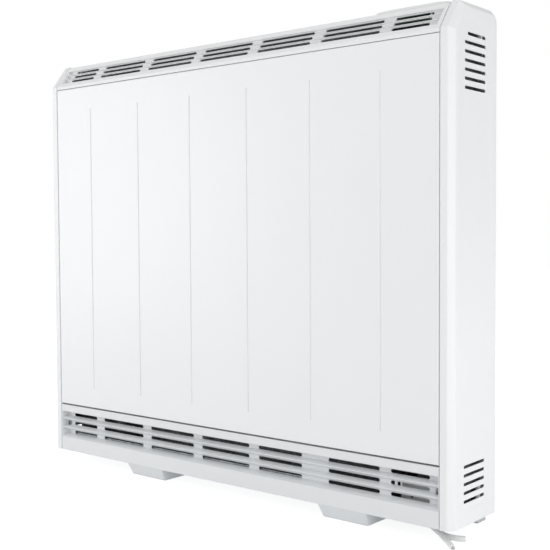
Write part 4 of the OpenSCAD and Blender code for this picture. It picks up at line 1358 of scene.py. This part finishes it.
class HEATER_OT_stage(Operator):
    """Set the white studio: floor, soft lamps and even surroundings"""
    bl_idname = "heater.stage"
    bl_label = "Studio"

    def execute(self, context):
        scene = context.scene
        scene.view_settings.view_transform = "Standard"
        paint, tree = new_finish("studio_floor_vinyl")
        path = add(tree, "ShaderNodeLightPath")
        matt = add(tree, "ShaderNodeBsdfDiffuse", {"Color": scene.heater_colours.floor})
        # The floor glows towards the camera and in reflections, and still takes a shadow
        seen = add(tree, "ShaderNodeMath", {
            0: path.outputs["Is Camera Ray"], 1: path.outputs["Is Glossy Ray"]},
            operation="MAXIMUM")
        share = add(tree, "ShaderNodeMath", {0: seen.outputs[0], 1: GLOW_SHARE},
                    operation="MULTIPLY")
        glow = add(tree, "ShaderNodeEmission", {"Strength": FLOOR_GLOW})
        mixed = add(tree, "ShaderNodeMixShader", {
            0: share.outputs[0], 1: matt.outputs[0], 2: glow.outputs[0]})
        floor = new_piece("studio_floor", [(x * FLOOR_REACH, y * FLOOR_REACH, 0)
                                           for x, y in ((-1, -1), (1, -1), (1, 1), (-1, 1))],
                          [(0, 1, 2, 3)])
        floor.data.materials.append(shown(paint, mixed))

        world = bpy.data.worlds.new("studio")
        world.use_nodes = True
        tree = world.node_tree
        tree.nodes.clear()
        path = add(tree, "ShaderNodeLightPath")
        even, white = (add(tree, "ShaderNodeBackground", {
            "Color": linear("#FFFFFF"), "Strength": strength}) for strength in (SURROUND, 1.0))
        mixed = add(tree, "ShaderNodeMixShader", {
            0: path.outputs["Is Camera Ray"], 1: even.outputs[0], 2: white.outputs[0]})
        add(tree, "ShaderNodeOutputWorld", {0: mixed.outputs[0]})
        scene.world = world

        for name, (place, size, power) in LAMPS.items():
            data = bpy.data.lights.new(name, "AREA")
            data.size = size
            data.energy = power
            lamp = placed(name, data)
            lamp.location = place
            aim = Vector(LAMP_TARGET) - Vector(place)
            lamp.rotation_euler = aim.to_track_quat("-Z", "Y").to_euler()
        return {"FINISHED"}


# ---------------------------------------------------------------- panel and registration

OPERATORS = [
    HEATER_OT_camera, HEATER_OT_tails, HEATER_OT_inner_parts, HEATER_OT_front_panel,
    HEATER_OT_side_panels, HEATER_OT_grilles, HEATER_OT_fascia, HEATER_OT_feet,
    HEATER_OT_controls, HEATER_OT_screws, HEATER_OT_sheet_parts, HEATER_OT_stage,
]


class HEATER_PT_build(Panel):
    """Lists the heater's pieces"""
    bl_idname = "HEATER_PT_build"
    bl_label = "Storage heater"
    bl_space_type = "VIEW_3D"
    bl_region_type = "UI"
    bl_category = "Heater"

    def draw(self, context):
        for operator in OPERATORS:
            self.layout.operator(operator.bl_idname)
        for group in (context.scene.heater_sizes, context.scene.heater_colours):
            for name in group.__annotations__:
                self.layout.prop(group, name)


CLASSES = [HeaterSizes, HeaterColours] + OPERATORS + [HEATER_PT_build]


def register():
    """Registers the classes and adds their properties to the scene."""
    for cls in CLASSES:
        bpy.utils.register_class(cls)
    bpy.types.Scene.heater_sizes = PointerProperty(type=HeaterSizes)
    bpy.types.Scene.heater_colours = PointerProperty(type=HeaterColours)


def unregister():
    """Takes back what register adds."""
    del bpy.types.Scene.heater_colours
    del bpy.types.Scene.heater_sizes
    for cls in reversed(CLASSES):
        bpy.utils.unregister_class(cls)


def main():
    """Builds every piece in order."""
    register()
    for operator in OPERATORS:
        family, name = operator.bl_idname.split(".")
        getattr(getattr(bpy.ops, family), name)()


if __name__ == "__main__":
    main()
